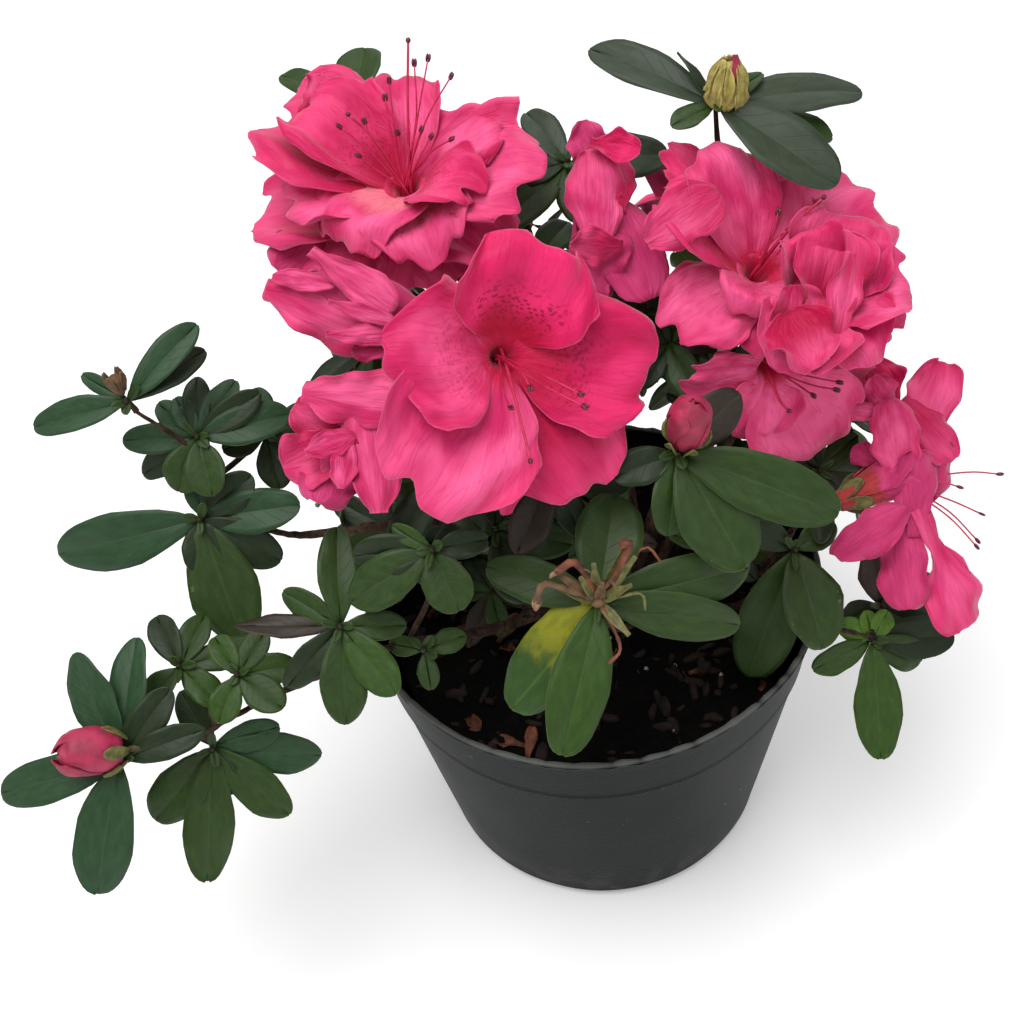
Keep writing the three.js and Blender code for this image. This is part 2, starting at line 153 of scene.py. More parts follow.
class Cluster:
    """Closed blades and tubes of one kind, gathered into one mesh. Each has cells of its own
    in the texture layout, so that a baked colour stays where it belongs."""

    def __init__(self, name, slot, *looks):
        self.name, self.slot, self.looks = name, slot, looks
        self.points, self.faces, self.values = [], [], {value: [] for value in VALUES}
        self.count = 0
        self.cells = 0

    def _points(self, points, values):
        self.points.append(points)
        for name in VALUES:
            self.values[name].append(np.broadcast_to(values.get(name, 0.0), len(points)))
        self.count += len(points)

    def _faces(self, corners, uv, look, flat=False):
        """Faces with the same number of corners, and each corner's place in the newest cell."""
        material = self.looks.index(look or self.looks[0])
        self.faces.append((corners, uv, self.cells, material, flat))

    def shell(self, grid, thickness, look=None, **values):
        """A closed thin blade over a grid of points, its top on the side of the normals."""
        rows, columns = grid.shape[:2]
        count = rows * columns
        offset = grid_normals(grid) * np.broadcast_to(thickness, (rows, columns))[..., None] / 2
        index = np.arange(count).reshape(rows, columns)
        u, v = np.meshgrid(np.linspace(0, 1, columns), np.linspace(0, 1, rows))
        uv = np.stack([u, v], -1).reshape(-1, 2)
        top = grid_quads(index)
        rim = np.concatenate([index[0, :-1], index[:-1, -1], index[-1, :0:-1], index[:0:-1, 0]])
        ahead = np.roll(rim, -1)
        edge = np.stack([rim, ahead, ahead, rim], 1)
        self._faces(top + self.count, uv[top], look)
        self._faces(edge + [0, 0, count, count] + self.count, uv[edge], look, flat=True)
        self.cells += 1
        self._faces(top[:, ::-1] + count + self.count, uv[top[:, ::-1]], look)
        self.cells += 1
        points = np.concatenate([(grid + offset).reshape(-1, 3), (grid - offset).reshape(-1, 3)])
        spread = {
            name: np.tile(np.broadcast_to(value, (rows, columns)).ravel(), 2)
            for name, value in values.items()
        }
        spread["under"] = np.repeat([0.0, 1.0], count)
        self._points(points, spread)

    def tube(self, line, radii, sides=8, relief=0.0, look=None, **values):
        """A closed tube along a line of points, with rough bark of that relief."""
        line = np.asarray(line, float)
        rows = len(line)
        radii = np.broadcast_to(radii, rows)
        side, other = carried_sides(line)
        turn = np.arange(sides) * FULL_TURN / sides
        around = side[:, None] * np.cos(turn)[:, None] + other[:, None] * np.sin(turn)[:, None]
        points = line[:, None] + around * radii[:, None, None]
        if relief:
            bumps = 0.6 * rough(points * [1, 1, 0.5], 3.1, 5) + 0.4 * rough(points, 1.6, 6)
            points += around * (bumps * relief)[..., None]
        index = np.arange(rows * sides).reshape(rows, sides)
        quads = grid_quads(closed_round(index))[:, ::-1]
        u, v = np.meshgrid(np.linspace(0, 1, sides + 1), np.linspace(0, 1, rows))
        seam = np.arange(rows * (sides + 1)).reshape(rows, sides + 1)
        uv = np.stack([u, v], -1).reshape(-1, 2)[grid_quads(seam)[:, ::-1]]
        self._faces(quads + self.count, uv, look)
        for cap, level in ((index[:1, ::-1], 0.0), (index[-1:], 1.0)):
            self._faces(cap + self.count, np.full((1, sides, 2), (0.5, level)), look)
        self.cells += 1
        spread = {"along": np.repeat(np.linspace(0, 1, rows), sides), **values}
        self._points(points.reshape(-1, 3), spread)

    def lump(self, at, axis, length, radius, sides=8, rows=7, relief=0.0, look=None, **values):
        """A closed oval body, centred at a point, along an axis."""
        turn = np.linspace(0.06, math.pi - 0.06, rows)
        line = np.asarray(at) - np.cos(turn)[:, None] * unit(axis) * length / 2
        self.tube(line, radius * np.sin(turn), sides, relief, look, **values)

    def build(self, *replaces):
        """Makes the Blender object, which stands for the CAD nodes that are named."""
        mesh = bpy.data.meshes.new(self.name)
        points = np.concatenate(self.points) * MM
        mesh.vertices.add(len(points))
        mesh.vertices.foreach_set("co", points.astype(np.float32).ravel())
        corners, _, _, materials, flats = zip(*self.faces)
        sizes = np.concatenate([np.full(len(f), f.shape[1]) for f in corners])
        mesh.loops.add(int(sizes.sum()))
        mesh.loops.foreach_set("vertex_index", np.concatenate([f.ravel() for f in corners]))
        mesh.polygons.add(len(sizes))
        mesh.polygons.foreach_set("loop_start", np.cumsum(sizes) - sizes)
        per_face = [np.full(len(f), material) for f, material in zip(corners, materials)]
        mesh.polygons.foreach_set("material_index", np.concatenate(per_face))
        mesh.update(calc_edges=True)
        flat = np.concatenate([np.full(len(f), flat) for f, flat in zip(corners, flats)])
        mesh.attributes.new("sharp_face", "BOOLEAN", "FACE").data.foreach_set("value", flat)
        for name in VALUES:
            values = np.concatenate(self.values[name]).astype(np.float32)
            mesh.attributes.new(name, "FLOAT", "POINT").data.foreach_set("value", values)
        self._layout(mesh)
        for look in self.looks:
            mesh.materials.append(MATERIALS[look])
        piece(mesh, self.name, self.slot, *replaces)

    def _layout(self, mesh):
        """Lays the cells out in a square, with a margin round each."""
        side = math.ceil(math.sqrt(self.cells))
        laid = []
        for _, uv, cell, _, _ in self.faces:
            corner = np.array([cell % side, cell // side])
            place = corner + CELL_MARGIN + (1 - 2 * CELL_MARGIN) * uv
            laid.append((place / side).reshape(-1, 2))
        layer = mesh.uv_layers.new(name="OFBake")
        layer.data.foreach_set("uv", np.concatenate(laid).astype(np.float32).ravel())


def carried_sides(line):
    """Two directions square to a line at each of its points, carried along without a twist."""
    ahead = unit(np.gradient(line, axis=0))
    side = np.empty_like(line)
    side[0] = unit(np.cross(ahead[0], [0.3, 0.5, 0.8]))
    for k in range(1, len(line)):
        side[k] = unit(side[k - 1] - ahead[k] * (side[k - 1] @ ahead[k]))
    return side, np.cross(ahead, side)


def piece(mesh, name, slot, *replaces):
    """An object of the plant or its pot, in place of the CAD nodes that are named."""
    made = bpy.data.objects.new(name, mesh)
    bpy.context.scene.collection.objects.link(made)
    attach(made, "root")
    if replaces:
        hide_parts(*replaces)


# ---- Materials ----
BLACK = (0.0, 0.0, 0.0, 1.0)
WHITE = (1.0, 1.0, 1.0, 1.0)


def colour(red, green, blue):
    """A colour from its screen values, 0 to 255, as the shader takes it."""
    screen = np.array([red, green, blue]) / 255
    linear = np.where(screen <= 0.04045, screen / 12.92, ((screen + 0.055) / 1.055) ** 2.4)
    return (*linear, 1.0)


class Shader:
    """A node material with one Principled shader, and short calls for the nodes round it.
    Each material's function calls its own one s."""

    def __init__(self, name, **sockets):
        self.material = bpy.data.materials.new(name)
        self.material.use_nodes = True
        self.nodes = self.material.node_tree.nodes
        self.links = self.material.node_tree.links
        self.principled = self.nodes["Principled BSDF"]
        for socket, value in sockets.items():
            self.principled.inputs[socket.replace("_", " ")].default_value = value

    def node(self, kind, output=0, inputs=None, **settings):
        made = self.nodes.new("ShaderNode" + kind)
        for key, value in settings.items():
            setattr(made, key, value)
        for key, value in (inputs or {}).items():
            self.put(made.inputs[key], value)
        return made.outputs[output]

    def put(self, socket, value):
        if isinstance(value, bpy.types.NodeSocket):
            self.links.new(value, socket)
        else:
            socket.default_value = value

    def set(self, socket, value):
        self.put(self.principled.inputs[socket], value)

    def value(self, name):
        """A value that the mesh carries."""
        return self.node("Attribute", "Fac", attribute_name=name)

    def maths(self, operation, first, second=0.0, third=0.0):
        return self.node("Math", inputs={0: first, 1: second, 2: third}, operation=operation)

    def times(self, first, second):
        return self.maths("MULTIPLY", first, second)

    def size(self, value):
        return self.maths("ABSOLUTE", value)

    def between(self, low, high, value):
        """0 at low, 1 at high, smooth between and level beyond them."""
        return self.node("MapRange", inputs={"Value": value, "From Min": low, "From Max": high},
                         interpolation_type="SMOOTHSTEP")

    def spread(self, value, low, high):
        """A value from 0 to 1, brought between low and high."""
        return self.node("MapRange", inputs={"Value": value, "To Min": low, "To Max": high})

    def mix(self, share, first, second):
        made = self.nodes.new("ShaderNodeMix")
        made.data_type = "RGBA"
        for key, value in ((0, share), (6, first), (7, second)):
            self.put(made.inputs[key], value)
        return made.outputs[2]

    def tones(self, low, high, value, first, second):
        """From one screen colour to another, as a value goes from low to high."""
        return self.mix(self.between(low, high, value), colour(*first), colour(*second))

    def over(self, base, screen_colour, share, strength=1.0):
        """A screen colour laid over the base, as strongly as the share says."""
        return self.mix(self.times(share, strength), base, colour(*screen_colour))

    def place(self):
        return self.node("TexCoord", "Object")

    def stretched(self, upwards):
        """The place on the object, with its height multiplied."""
        return self.node("Mapping", inputs={"Vector": self.place(), "Scale": (1.0, 1.0, upwards)})

    def blade_place(self, across, along):
        """Coordinates on a leaf or petal, different from one to the next."""
        apart = self.times(self.value("tint"), 37.0)
        x = self.times(self.value("across"), across)
        y = self.times(self.value("along"), along)
        return self.node("CombineXYZ", inputs={0: x, 1: y, 2: apart})

    def noise(self, scale, detail=3.0, place=None, roughness=0.55):
        inputs = {"Vector": place or self.place(), "Scale": scale,
                  "Detail": detail, "Roughness": roughness}
        return self.node("TexNoise", "Fac", inputs=inputs)

    def blade_noise(self, across, along):
        return self.noise(1.0, 2.0, self.blade_place(across, along))

    def cells(self, place, scale=1.0):
        return self.node("TexVoronoi", "Distance", {"Vector": place, "Scale": scale})

    def margin(self, along_from, across_from):
        """1 at the margin of a leaf or petal, and 0 within those shares of its length and width."""
        tip = self.between(along_from, 1.0, self.value("along"))
        side = self.between(across_from, 1.0, self.size(self.value("across")))
        return self.maths("MAXIMUM", tip, side)

    def bump(self, height, distance, strength=1.0):
        inputs = {"Height": height, "Distance": distance, "Strength": strength}
        self.set("Normal", self.node("Bump", inputs=inputs))


LEAF_COLOURS = {  # lit side, underside, and the colour near the foot where it differs
    "dark": ((30, 48, 19), (70, 82, 52)),
    "mid": ((45, 70, 20), (86, 101, 58)),
    "cool": ((42, 75, 43), (82, 100, 72)),
    "grey": ((54, 67, 48), (90, 100, 76)),
    "green": ((50, 80, 18), (96, 114, 50)),
    "fresh": ((88, 132, 40), (118, 150, 72)),
    "yellow": ((50, 84, 26), (132, 142, 66), (156, 158, 34)),
    "bronze": ((52, 42, 32), (74, 66, 50)),
}


def leaf_material(kind):
    """A leathery leaf: sunken veins darkened with painted shade, fine mottling, pale specks and a
    thin paler margin.
    """
    top, underside, *foot = (colour(*shade) for shade in LEAF_COLOURS[kind])
    s = Shader("leaf_" + kind, Specular_IOR_Level=0.34)
    along, across = s.value("along"), s.size(s.value("across"))
    midrib = s.between(0.07, 0.015, across)
    slant = s.maths("SUBTRACT", s.times(along, 6.5), s.times(across, 1.7))
    ripple = s.size(s.maths("SINE", s.times(slant, math.pi)))
    vein = s.times(s.between(0.16, 0.0, ripple), s.between(1.0, 0.5, across))
    mottle = s.noise(2.6, 3.0, s.blade_place(1.6, 3.0))
    if foot:
        fading = s.maths("MULTIPLY_ADD", mottle, 0.5, along)
        top = s.mix(s.between(0.9, 0.6, fading), top, foot[0])
    shade = s.mix(s.between(0.3, 0.75, mottle), s.mix(0.3, top, BLACK), top)
    # painted shade: the sunken veins are darkened in colour
    shade = s.mix(s.times(vein, 0.16), shade, s.mix(0.5, top, BLACK))
    shade = s.mix(s.times(midrib, 0.4), shade, s.mix(0.35, top, underside))
    shade = s.mix(s.times(s.margin(0.99, 0.965), 0.35), shade, underside)
    few = s.between(0.62, 0.7, s.noise(0.9, 1.0, s.blade_place(9.0, 22.0)))
    specks = s.times(s.between(0.13, 0.06, s.cells(s.blade_place(9.0, 22.0))), few)
    shade = s.over(shade, (150, 160, 134), specks, 0.35)
    s.set("Base Color", s.mix(s.value("under"), shade, underside))
    s.set("Roughness", s.spread(mottle, 0.4, 0.56))
    s.bump(s.maths("MULTIPLY_ADD", s.maths("MAXIMUM", vein, midrib), -1.0, mottle), 0.00012, 0.4)
    return s.material


def petal_top(s, streaks, clouds, veins):
    """The lit side of a petal: crimson in the throat, flecks where it is marked, a pale margin.
    Painted light lightens some lobes near their foot, and painted shade darkens petals in shade.
    """
    along, across, mark_and_glow = s.value("along"), s.size(s.value("across")), s.value("mark_and_glow")
    soft = s.tones(0.3, 0.7, clouds, (208, 34, 100), (248, 96, 152))
    hot = s.tones(0.3, 0.7, clouds, (200, 8, 80), (242, 42, 114))
    pink = s.mix(s.between(0.0, 0.9, mark_and_glow), soft, hot)
    # painted light: lobes marked below 0 are lightened towards their foot, as if lit through
    painted_glow = s.times(s.between(0.0, -1.0, mark_and_glow), s.between(0.74, 0.5, along))
    pink = s.over(pink, (250, 140, 150), painted_glow, 0.7)
    pink = s.over(pink, (186, 14, 84), s.between(0.5, 0.8, streaks), 0.16)
    # deeper crimson towards the foot: partly the petal's own colour, partly painted shade, stronger
    # on petals that lie in shade
    pink = s.over(pink, (184, 4, 66), s.value("deep_and_shade"), s.between(1.0, 0.6, along))
    pink = s.over(pink, (196, 14, 84), veins, 0.3)
    pink = s.over(pink, (208, 20, 88), s.margin(0.78, 0.6), 0.4)
    pink = s.over(pink, (184, 2, 52), s.between(0.6, 0.34, along), mark_and_glow)
    pink = s.over(pink, (206, 22, 74), s.between(0.33, 0.2, along))
    field = s.times(s.between(0.34, 0.4, along), s.between(0.76, 0.54, along))
    field = s.times(s.times(field, s.between(0.95, 0.6, across)), mark_and_glow)
    flecks = s.between(0.44, 0.32, s.cells(s.blade_place(11.0, 38.0)))
    pink = s.over(pink, (152, 0, 50), s.times(field, flecks), 0.85)
    return s.over(pink, (250, 120, 160), s.margin(0.985, 0.965), 0.3)


def petal_material():
    """A thin velvety petal, duller on its underside, with faint veins and folds."""
    s = Shader("petal", Roughness=0.52, Specular_IOR_Level=0.22,
               Sheen_Weight=0.2, Sheen_Roughness=0.4)
    streaks, clouds = s.blade_noise(14.0, 1.3), s.blade_noise(1.3, 2.6)
    ridge = s.size(s.maths("SUBTRACT", s.blade_noise(10.0, 2.2), 0.5))
    veins = s.between(0.03, 0.0, ridge)
    below = s.tones(0.3, 0.75, clouds, (188, 40, 98), (216, 66, 124))
    below = s.over(below, (158, 30, 84), s.between(0.5, 0.8, streaks), 0.2)
    below = s.over(below, (178, 58, 60), s.between(0.34, 0.1, s.value("along")))
    s.set("Base Color", s.mix(s.value("under"), petal_top(s, streaks, clouds, veins), below))
    crinkle = s.maths("MULTIPLY_ADD", streaks, 0.22, s.blade_noise(4.0, 5.0))
    s.bump(s.maths("MULTIPLY_ADD", veins, -0.05, crinkle), 0.0018, 0.6)
    return s.material


def plain_material(name, light, dark, roughness, scale=300.0, relief=0.0001, **sockets):
    """A colour that varies between a lighter and a darker tone, with a fine relief."""
    s = Shader(name, Roughness=roughness, **sockets)
    grain = s.noise(scale, 4.0)
    s.set("Base Color", s.mix(s.between(0.3, 0.7, grain), dark, light))
    s.bump(grain, relief)
    return s.material


def bark_material():
    """Thin rough bark: brown with grey flaking ridges and dark cracks."""
    s = Shader("bark", Roughness=0.85, Specular_IOR_Level=0.25)
    coarse = s.noise(190.0, 6.0)
    cracks = s.noise(620.0, 4.0, s.stretched(0.3))
    brown = s.tones(0.32, 0.68, coarse, (42, 29, 22), (80, 58, 43))
    brown = s.over(brown, (28, 18, 14), s.between(0.52, 0.36, cracks))
    s.set("Base Color", s.over(brown, (120, 108, 92), s.between(0.62, 0.8, coarse), 0.4))
    s.bump(s.maths("ADD", coarse, cracks), 0.0006)
    return s.material


def shoot_material():
    """Young growth: green-brown stalks, reddish in patches."""
    s = Shader("shoot", Roughness=0.6, Specular_IOR_Level=0.35)
    s.set("Base Color", s.tones(0.35, 0.7, s.noise(120.0, 3.0), (72, 44, 30), (74, 74, 38)))
    s.bump(s.noise(1500.0, 2.0), 0.0002)
    return s.material


def pot_material():
    """Thin dark grey polypropylene: dull, scuffed, paler at the rim, with dirt near the foot."""
    s = Shader("pot_plastic", Specular_IOR_Level=0.07)
    height = s.node("SeparateXYZ", "Z", {"Vector": s.place()})
    smears = s.noise(26.0, 5.0)
    scuffs = s.between(0.6, 0.78, s.noise(210.0, 4.0, s.stretched(5.0)))
    dirt = s.times(s.between(0.026, 0.004, height), s.between(0.44, 0.6, s.noise(150.0, 6.0)))
    sparse = s.between(0.64, 0.68, s.noise(60.0, 1.0))
    specks = s.times(s.between(0.14, 0.08, s.cells(s.place(), 190.0)), sparse)
    grey = s.tones(0.3, 0.7, smears, (6, 11, 10), (12, 19, 18))
    grey = s.over(grey, (58, 63, 62), scuffs, 0.15)
    grey = s.over(grey, (74, 72, 66), dirt, 0.3)
    grey = s.over(grey, (130, 130, 124), specks, 0.6)
    s.set("Base Color", s.over(grey, (104, 106, 102), s.between(0.0982, 0.0992, height), 0.7))
    s.set("Roughness", s.spread(smears, 0.36, 0.54))
    s.bump(s.maths("ADD", s.noise(1400.0, 2.0), smears), 0.00025, 0.6)
    return s.material


def soil_material():
    """Moist potting mix: nearly black, with brown fibres and damp sheen."""
    s = Shader("soil", Roughness=0.8, Specular_IOR_Level=0.15)
    coarse = s.noise(240.0, 8.0, roughness=0.7)
    s.set("Base Color", s.tones(0.45, 0.78, coarse, (5, 4, 3), (26, 18, 12)))
    s.bump(coarse, 0.0022)
    return s.material


PLAIN_LOOKS = {  # lighter and darker tone, roughness, and the grain's scale and relief
    "filament": ((206, 44, 88), (176, 22, 66), 0.45),
    "anther": ((122, 26, 54), (64, 10, 30), 0.35, 2500.0),
    "bud_petal": ((182, 44, 84), (138, 24, 58), 0.55, 220.0),
    "sepal": ((120, 118, 60), (80, 80, 42), 0.6, 500.0),
    "bud_scale": ((190, 176, 98), (146, 132, 70), 0.6, 420.0),
    "bud_brown": ((122, 92, 62), (82, 58, 40), 0.7, 420.0),
    "withered": ((138, 78, 50), (76, 38, 26), 0.7, 300.0),
    "down": ((176, 142, 112), (104, 64, 44), 0.9, 700.0, 0.0006),
    "bark_chip": ((46, 27, 19), (14, 9, 7), 0.9, 260.0, 0.0012),
    "grit": ((196, 192, 180), (140, 134, 122), 0.9, 700.0, 0.0004),
}
LEAF_LOOKS = ["leaf_" + kind for kind in LEAF_COLOURS]
MATERIALS = {
    "petal": petal_material(),
    "bark": bark_material(),
    "shoot": shoot_material(),
    "pot": pot_material(),
    "soil": soil_material(),
    **{look: plain_material(look, colour(*light), colour(*dark), *grain)
       for look, (light, dark, *grain) in PLAIN_LOOKS.items()},
    **{"leaf_" + kind: leaf_material(kind) for kind in LEAF_COLOURS},
}


# ---- Blades: leaves and petals ----
LEAF_OUTLINE = (0.56, 0.56, 0.44)  # where it is widest, and how pointed its foot and tip are
PETAL_OUTLINE = (0.66, 0.55, 0.36)
LEAF_COLUMNS = np.array([-1, -0.74, -0.42, -0.12, -0.03, 0.03, 0.12, 0.42, 0.74, 1.0])
PETAL_COLUMNS = np.linspace(-1, 1, 17)
SMALL_COLUMNS = np.linspace(-1, 1, 7)
SEPAL_COLUMNS = np.linspace(-1, 1, 5)


def outline_width(share, outline):
    """How wide a blade is at that share of its length, as a share of its greatest width."""
    widest, foot, tip = outline
    bell = np.sin(math.pi * np.clip(share, 0, 1) ** (math.log(0.5) / math.log(widest)))
    return np.clip(bell, 0, 1) ** np.where(share < widest, foot, tip)


def blade_frame(base, way, out, length, along, rise, droop, twist):
    """A blade's middle line, and the directions sideways and up from it at each row."""
    way, out = unit(way), unit(out)
    level = unit(np.cross(out, way))
    out = np.cross(way, level)
    bend = rise * along - droop * along * along
    line = base + length * (np.outer(along, way) + np.outer(bend, out))
    ahead = unit(np.gradient(line, axis=0))
    turn = np.radians(twist) * along
    sideways = level * np.cos(turn)[:, None] + np.cross(ahead, level) * np.sin(turn)[:, None]
    return line, sideways, unit(np.cross(ahead, sideways))


def blade(cluster, base, way, out, length, width, outline, columns, rows=14, rise=0.0, droop=0.0,
          fold=0.0, cup=0.0, twist=0.0, ruffle=0.0, frill=0.025, groove=0.0, stalk=0.7,
          start=0.0, thickness=0.35, rng=None, look=None, **values):
    """One leaf or loose petal. It runs that way from its base, with its upper side out.
    rise and droop bend it towards and away from out, as shares of its length."""
    even = np.linspace(0, 1, rows)
    along = 0.8 * np.sin(even * math.pi / 2) + 0.2 * even
    line, sideways, up = blade_frame(base, way, out, length, along, rise, droop, twist)
    half = np.maximum(width / 2 * outline_width(along, outline), stalk)[:, None]
    along, across = along[:, None], columns[None, :]
    edge, side = np.abs(across), np.sign(across)
    phase = rng.uniform(0, FULL_TURN, 4)
    waves = across * across * np.sin(9 * along + 2 * across + phase[0])
    waves = waves + 0.6 * across * across * np.sin(17 * along - 3 * across + phase[1])
    height = fold * np.sqrt(across * across + 0.02) * half + cup * across * across * half
    height = height + ruffle * waves * ease(0.1, 0.5, along)
    height = height - groove * (edge < 0.05) * ease(0.0, 0.1, along)
    uneven = np.sin(9 * along + 4 * side + phase[2])
    uneven = uneven + 0.6 * np.sin(21 * along - 5 * side + phase[3])
    uneven = 1 + frill * uneven * edge
    # the margins of a folded or cupped blade draw in
    drawn = across / np.sqrt(1 + (fold + cup * edge) ** 2) * uneven
    grid = line[:, None] + sideways[:, None] * (drawn * half)[..., None]
    grid = grid + up[:, None] * height[..., None]
    thin = thickness * (1 - 0.55 * edge ** 3) * np.ones_like(along)
    cluster.shell(grid, thin, look, along=start + (1 - start) * along, across=across,
                  tint=rng.uniform(), **values)


def leaf(cluster, base, facing, angle, length, width, kind, rng, **shape):
    """A leaf that points at that angle in the plane that faces that way."""
    right_up_out = plane(facing)
    way = turned(angle) @ right_up_out
    shape = {"rise": rng.uniform(-0.02, 0.16), "droop": rng.uniform(0.06, 0.24),
             "fold": rng.uniform(0.05, 0.3), "twist": rng.uniform(-22, 22),
             "ruffle": 0.045 * width * rng.uniform(0.3, 1.2), **shape}
    blade(cluster, base, way, right_up_out[2], length, width, shape.pop("outline", LEAF_OUTLINE),
          LEAF_COLUMNS, groove=0.2, thickness=0.45, rng=rng, look="leaf_" + kind, **shape)


# ---- Blooms ----
LOBE_ROWS = 26
ACROSS = np.linspace(-1, 1, 33)[None, :]  # the columns of a lobe's grid, from margin to margin
MARGIN_WAVES = ((1, 5.5), (0.45, 10), (0.32, 15))  # size and number of the waves in a margin
# size, number across and along, and the power of the distance from the middle that they grow by
CRUMPLE_WAVES = ((0.55, 4.3, 1.6, 0), (0.4, 9.5, 3, 0), (0.28, 17, -4, 1), (0.35, 4, 13, 1.5))
FUSED = math.radians(50)  # half the turn that a lobe takes of the tube, with an overlap
WIDEST = 1.7 * FUSED
THROAT = 6.0  # radius where the lobes part
STAMEN_RADIUS, PISTIL_RADIUS = 0.22, 0.36
SEPALS = 5


def ragged_reach(path, rng, blunt=0.24, frill=0.055):
    """Where each point of a petal's grid lies along its path, to an uneven wavy margin.
    Gives the share of the length, the radius and the height of each point."""
    along = np.linspace(0, 1, LOBE_ROWS)[:, None] ** 0.85
    phase = rng.uniform(0, FULL_TURN, 4)
    edge = 1 - blunt * np.abs(ACROSS) ** 2.6
    for (size, waves), start in zip(MARGIN_WAVES, phase):
        edge = edge + size * frill * np.sin(waves * ACROSS + start)
    edge = edge - 0.05 * np.exp(-((ACROSS - 0.15 * np.sin(phase[3])) / 0.2) ** 2)
    reach = np.clip(along * (1 + (edge - 1) * ease(0.2, 0.9, along)), 0, 1) * (len(path) - 1)
    steps = np.arange(len(path))
    return along, np.interp(reach, steps, path[:, 0]), np.interp(reach, steps, path[:, 1])


def crumple(along, rng):
    """Waves over a petal, stronger towards its margins."""
    phase = rng.uniform(0, FULL_TURN, 6)
    total = 0
    for (size, sideways, lengthways, edge), start in zip(CRUMPLE_WAVES, phase):
        wave = size * np.sin(sideways * ACROSS + lengthways * along + start)
        total = total + wave * np.abs(ACROSS) ** edge
    total = total * (0.35 + 0.8 * np.abs(ACROSS) ** 1.3)
    return total + 0.12 * np.sin(7 * along + 5 * ACROSS + phase[4])


def lobe_path(tube, length, lift, curl, layer):
    """A lobe's middle line from the tube's foot, as (distance from the axis, height)."""
    free = length - THROAT
    return smooth_line(
        [(0.3, -tube), (2.2, -0.62 * tube), (0.6 * THROAT, -0.2 * tube), (THROAT, 0.0),
         (THROAT + 0.35 * free, 0.5 * lift + 0.7 * layer),
         (THROAT + 0.75 * free, 0.92 * lift + layer),
         (length, lift - curl + layer)], 60)


def lobe_halves(width, beyond, rng):
    """Half of a lobe's width at each point, with uneven margins."""
    foot = FUSED * THROAT
    half = foot + (width / 2 - foot) * np.sin(np.clip(beyond / 0.7, 0, 1) * math.pi / 2) ** 0.9
    half = half * (1 - 0.2 * np.clip((beyond - 0.7) / 0.3, 0, 1) ** 2)
    for size, waves, sway in ((0.05, 12, 2), (0.025, 27, -1)):
        wave = np.sin(waves * beyond + sway * np.sign(ACROSS) + rng.uniform(0, 6))
        half = half * (1 + size * wave * beyond)
    return half


def lobe(cluster, heart, facing, tube, angle, length, width, lift, curl=3.0, ruffle=3.3,
         layer=0.0, cup=0.05, roll=0.0, blunt=0.24, rng=None, **values):
    """One lobe of an open bloom, from the foot of the tube to its wavy tip. lift is the height
    of its tip over the throat, curl how far the tip bends back, layer moves it over others,
    roll bends its margins back, blunt is how much shorter it is at its sides."""
    path = lobe_path(tube, length, lift, curl, layer)
    along, out, height = ragged_reach(path, rng, blunt)
    beyond = np.clip((out - THROAT) / (length - THROAT), 0, 1)
    half = lobe_halves(width, beyond, rng)
    turn = np.minimum(half / np.maximum(out, THROAT), WIDEST)
    turn = np.where(out < THROAT, FUSED, turn) * ACROSS + math.radians(angle)
    free = ease(0.0, 1.0, beyond)
    out = out - 0.08 * layer * (1 - free)  # keeps the lobes apart where they overlap in the tube
    hollow = cup * (ACROSS * ACROSS - 0.25) + 0.05 * ACROSS - roll * ACROSS**4
    groove = np.exp(-((ACROSS / 0.09) ** 2))
    height = height + ruffle * free ** 1.2 * crumple(along, rng) + free * half * hollow
    height = height - 2.2 * groove * free * (1 - free)
    local = np.stack([out * np.cos(turn), out * np.sin(turn), height], -1)
    thin = 0.5 - 0.25 * ease(0.2, 1.0, along) - 0.1 * np.abs(ACROSS) ** 3
    cluster.shell(heart + local @ plane(facing), thin, along=along, across=ACROSS,
                  tint=rng.uniform(), **values)


def furled(cluster, base, axis, profile, count, rng, ruffle=1.0, spin=40.0, half=70.0,
           spread=0.07, start=0.3):
    """Petals wrapped round an axis, along a profile of (radius, height) from the base. spin is
    how far they wind by their tips, and half how far each reaches round to either side."""
    path = smooth_line(profile, 50)
    for k in range(count):
        along, out, height = ragged_reach(path, rng, blunt=0.3, frill=0.025)
        free = ease(0.25, 1.0, along)
        out = out * (1 + spread * ACROSS - 0.05 * k) + ruffle * free * crumple(along, rng)
        turn = math.radians(360 / count) * (k + rng.uniform(-0.12, 0.12))
        turn = turn + math.radians(half) * ACROSS + math.radians(spin) * along
        height = height * (1 - rng.uniform(0, 0.12) * ease(0.3, 1.0, along))
        local = np.stack([out * np.cos(turn), out * np.sin(turn), height], -1)
        cluster.shell(base + local @ plane(axis), 0.4, along=start + (1 - start) * along,
                      across=ACROSS, tint=rng.uniform())


def loose_petal(cluster, base, angle, length, width, lean=0.0, turn=0.0, rng=None, **shape):
    """A petal that is placed as it is seen from the front: its tip at that angle, leaning
    towards the viewer by lean degrees, and turned about its own length."""
    roll = math.radians(turn)
    way = view_axis(angle, lean)
    out = view_axis(angle, lean + 90)
    out = out * math.cos(roll) + np.cross(way, out) * math.sin(roll)
    shape = {"ruffle": 0.15 * width, "stalk": 0.16 * width, "rows": 22, "droop": 0.08,
             "frill": 0.08, "start": 0.42, **shape}
    blade(cluster, base, way, out, length, width, shape.pop("outline", PETAL_OUTLINE),
          PETAL_COLUMNS, thickness=0.4, rng=rng, **shape)


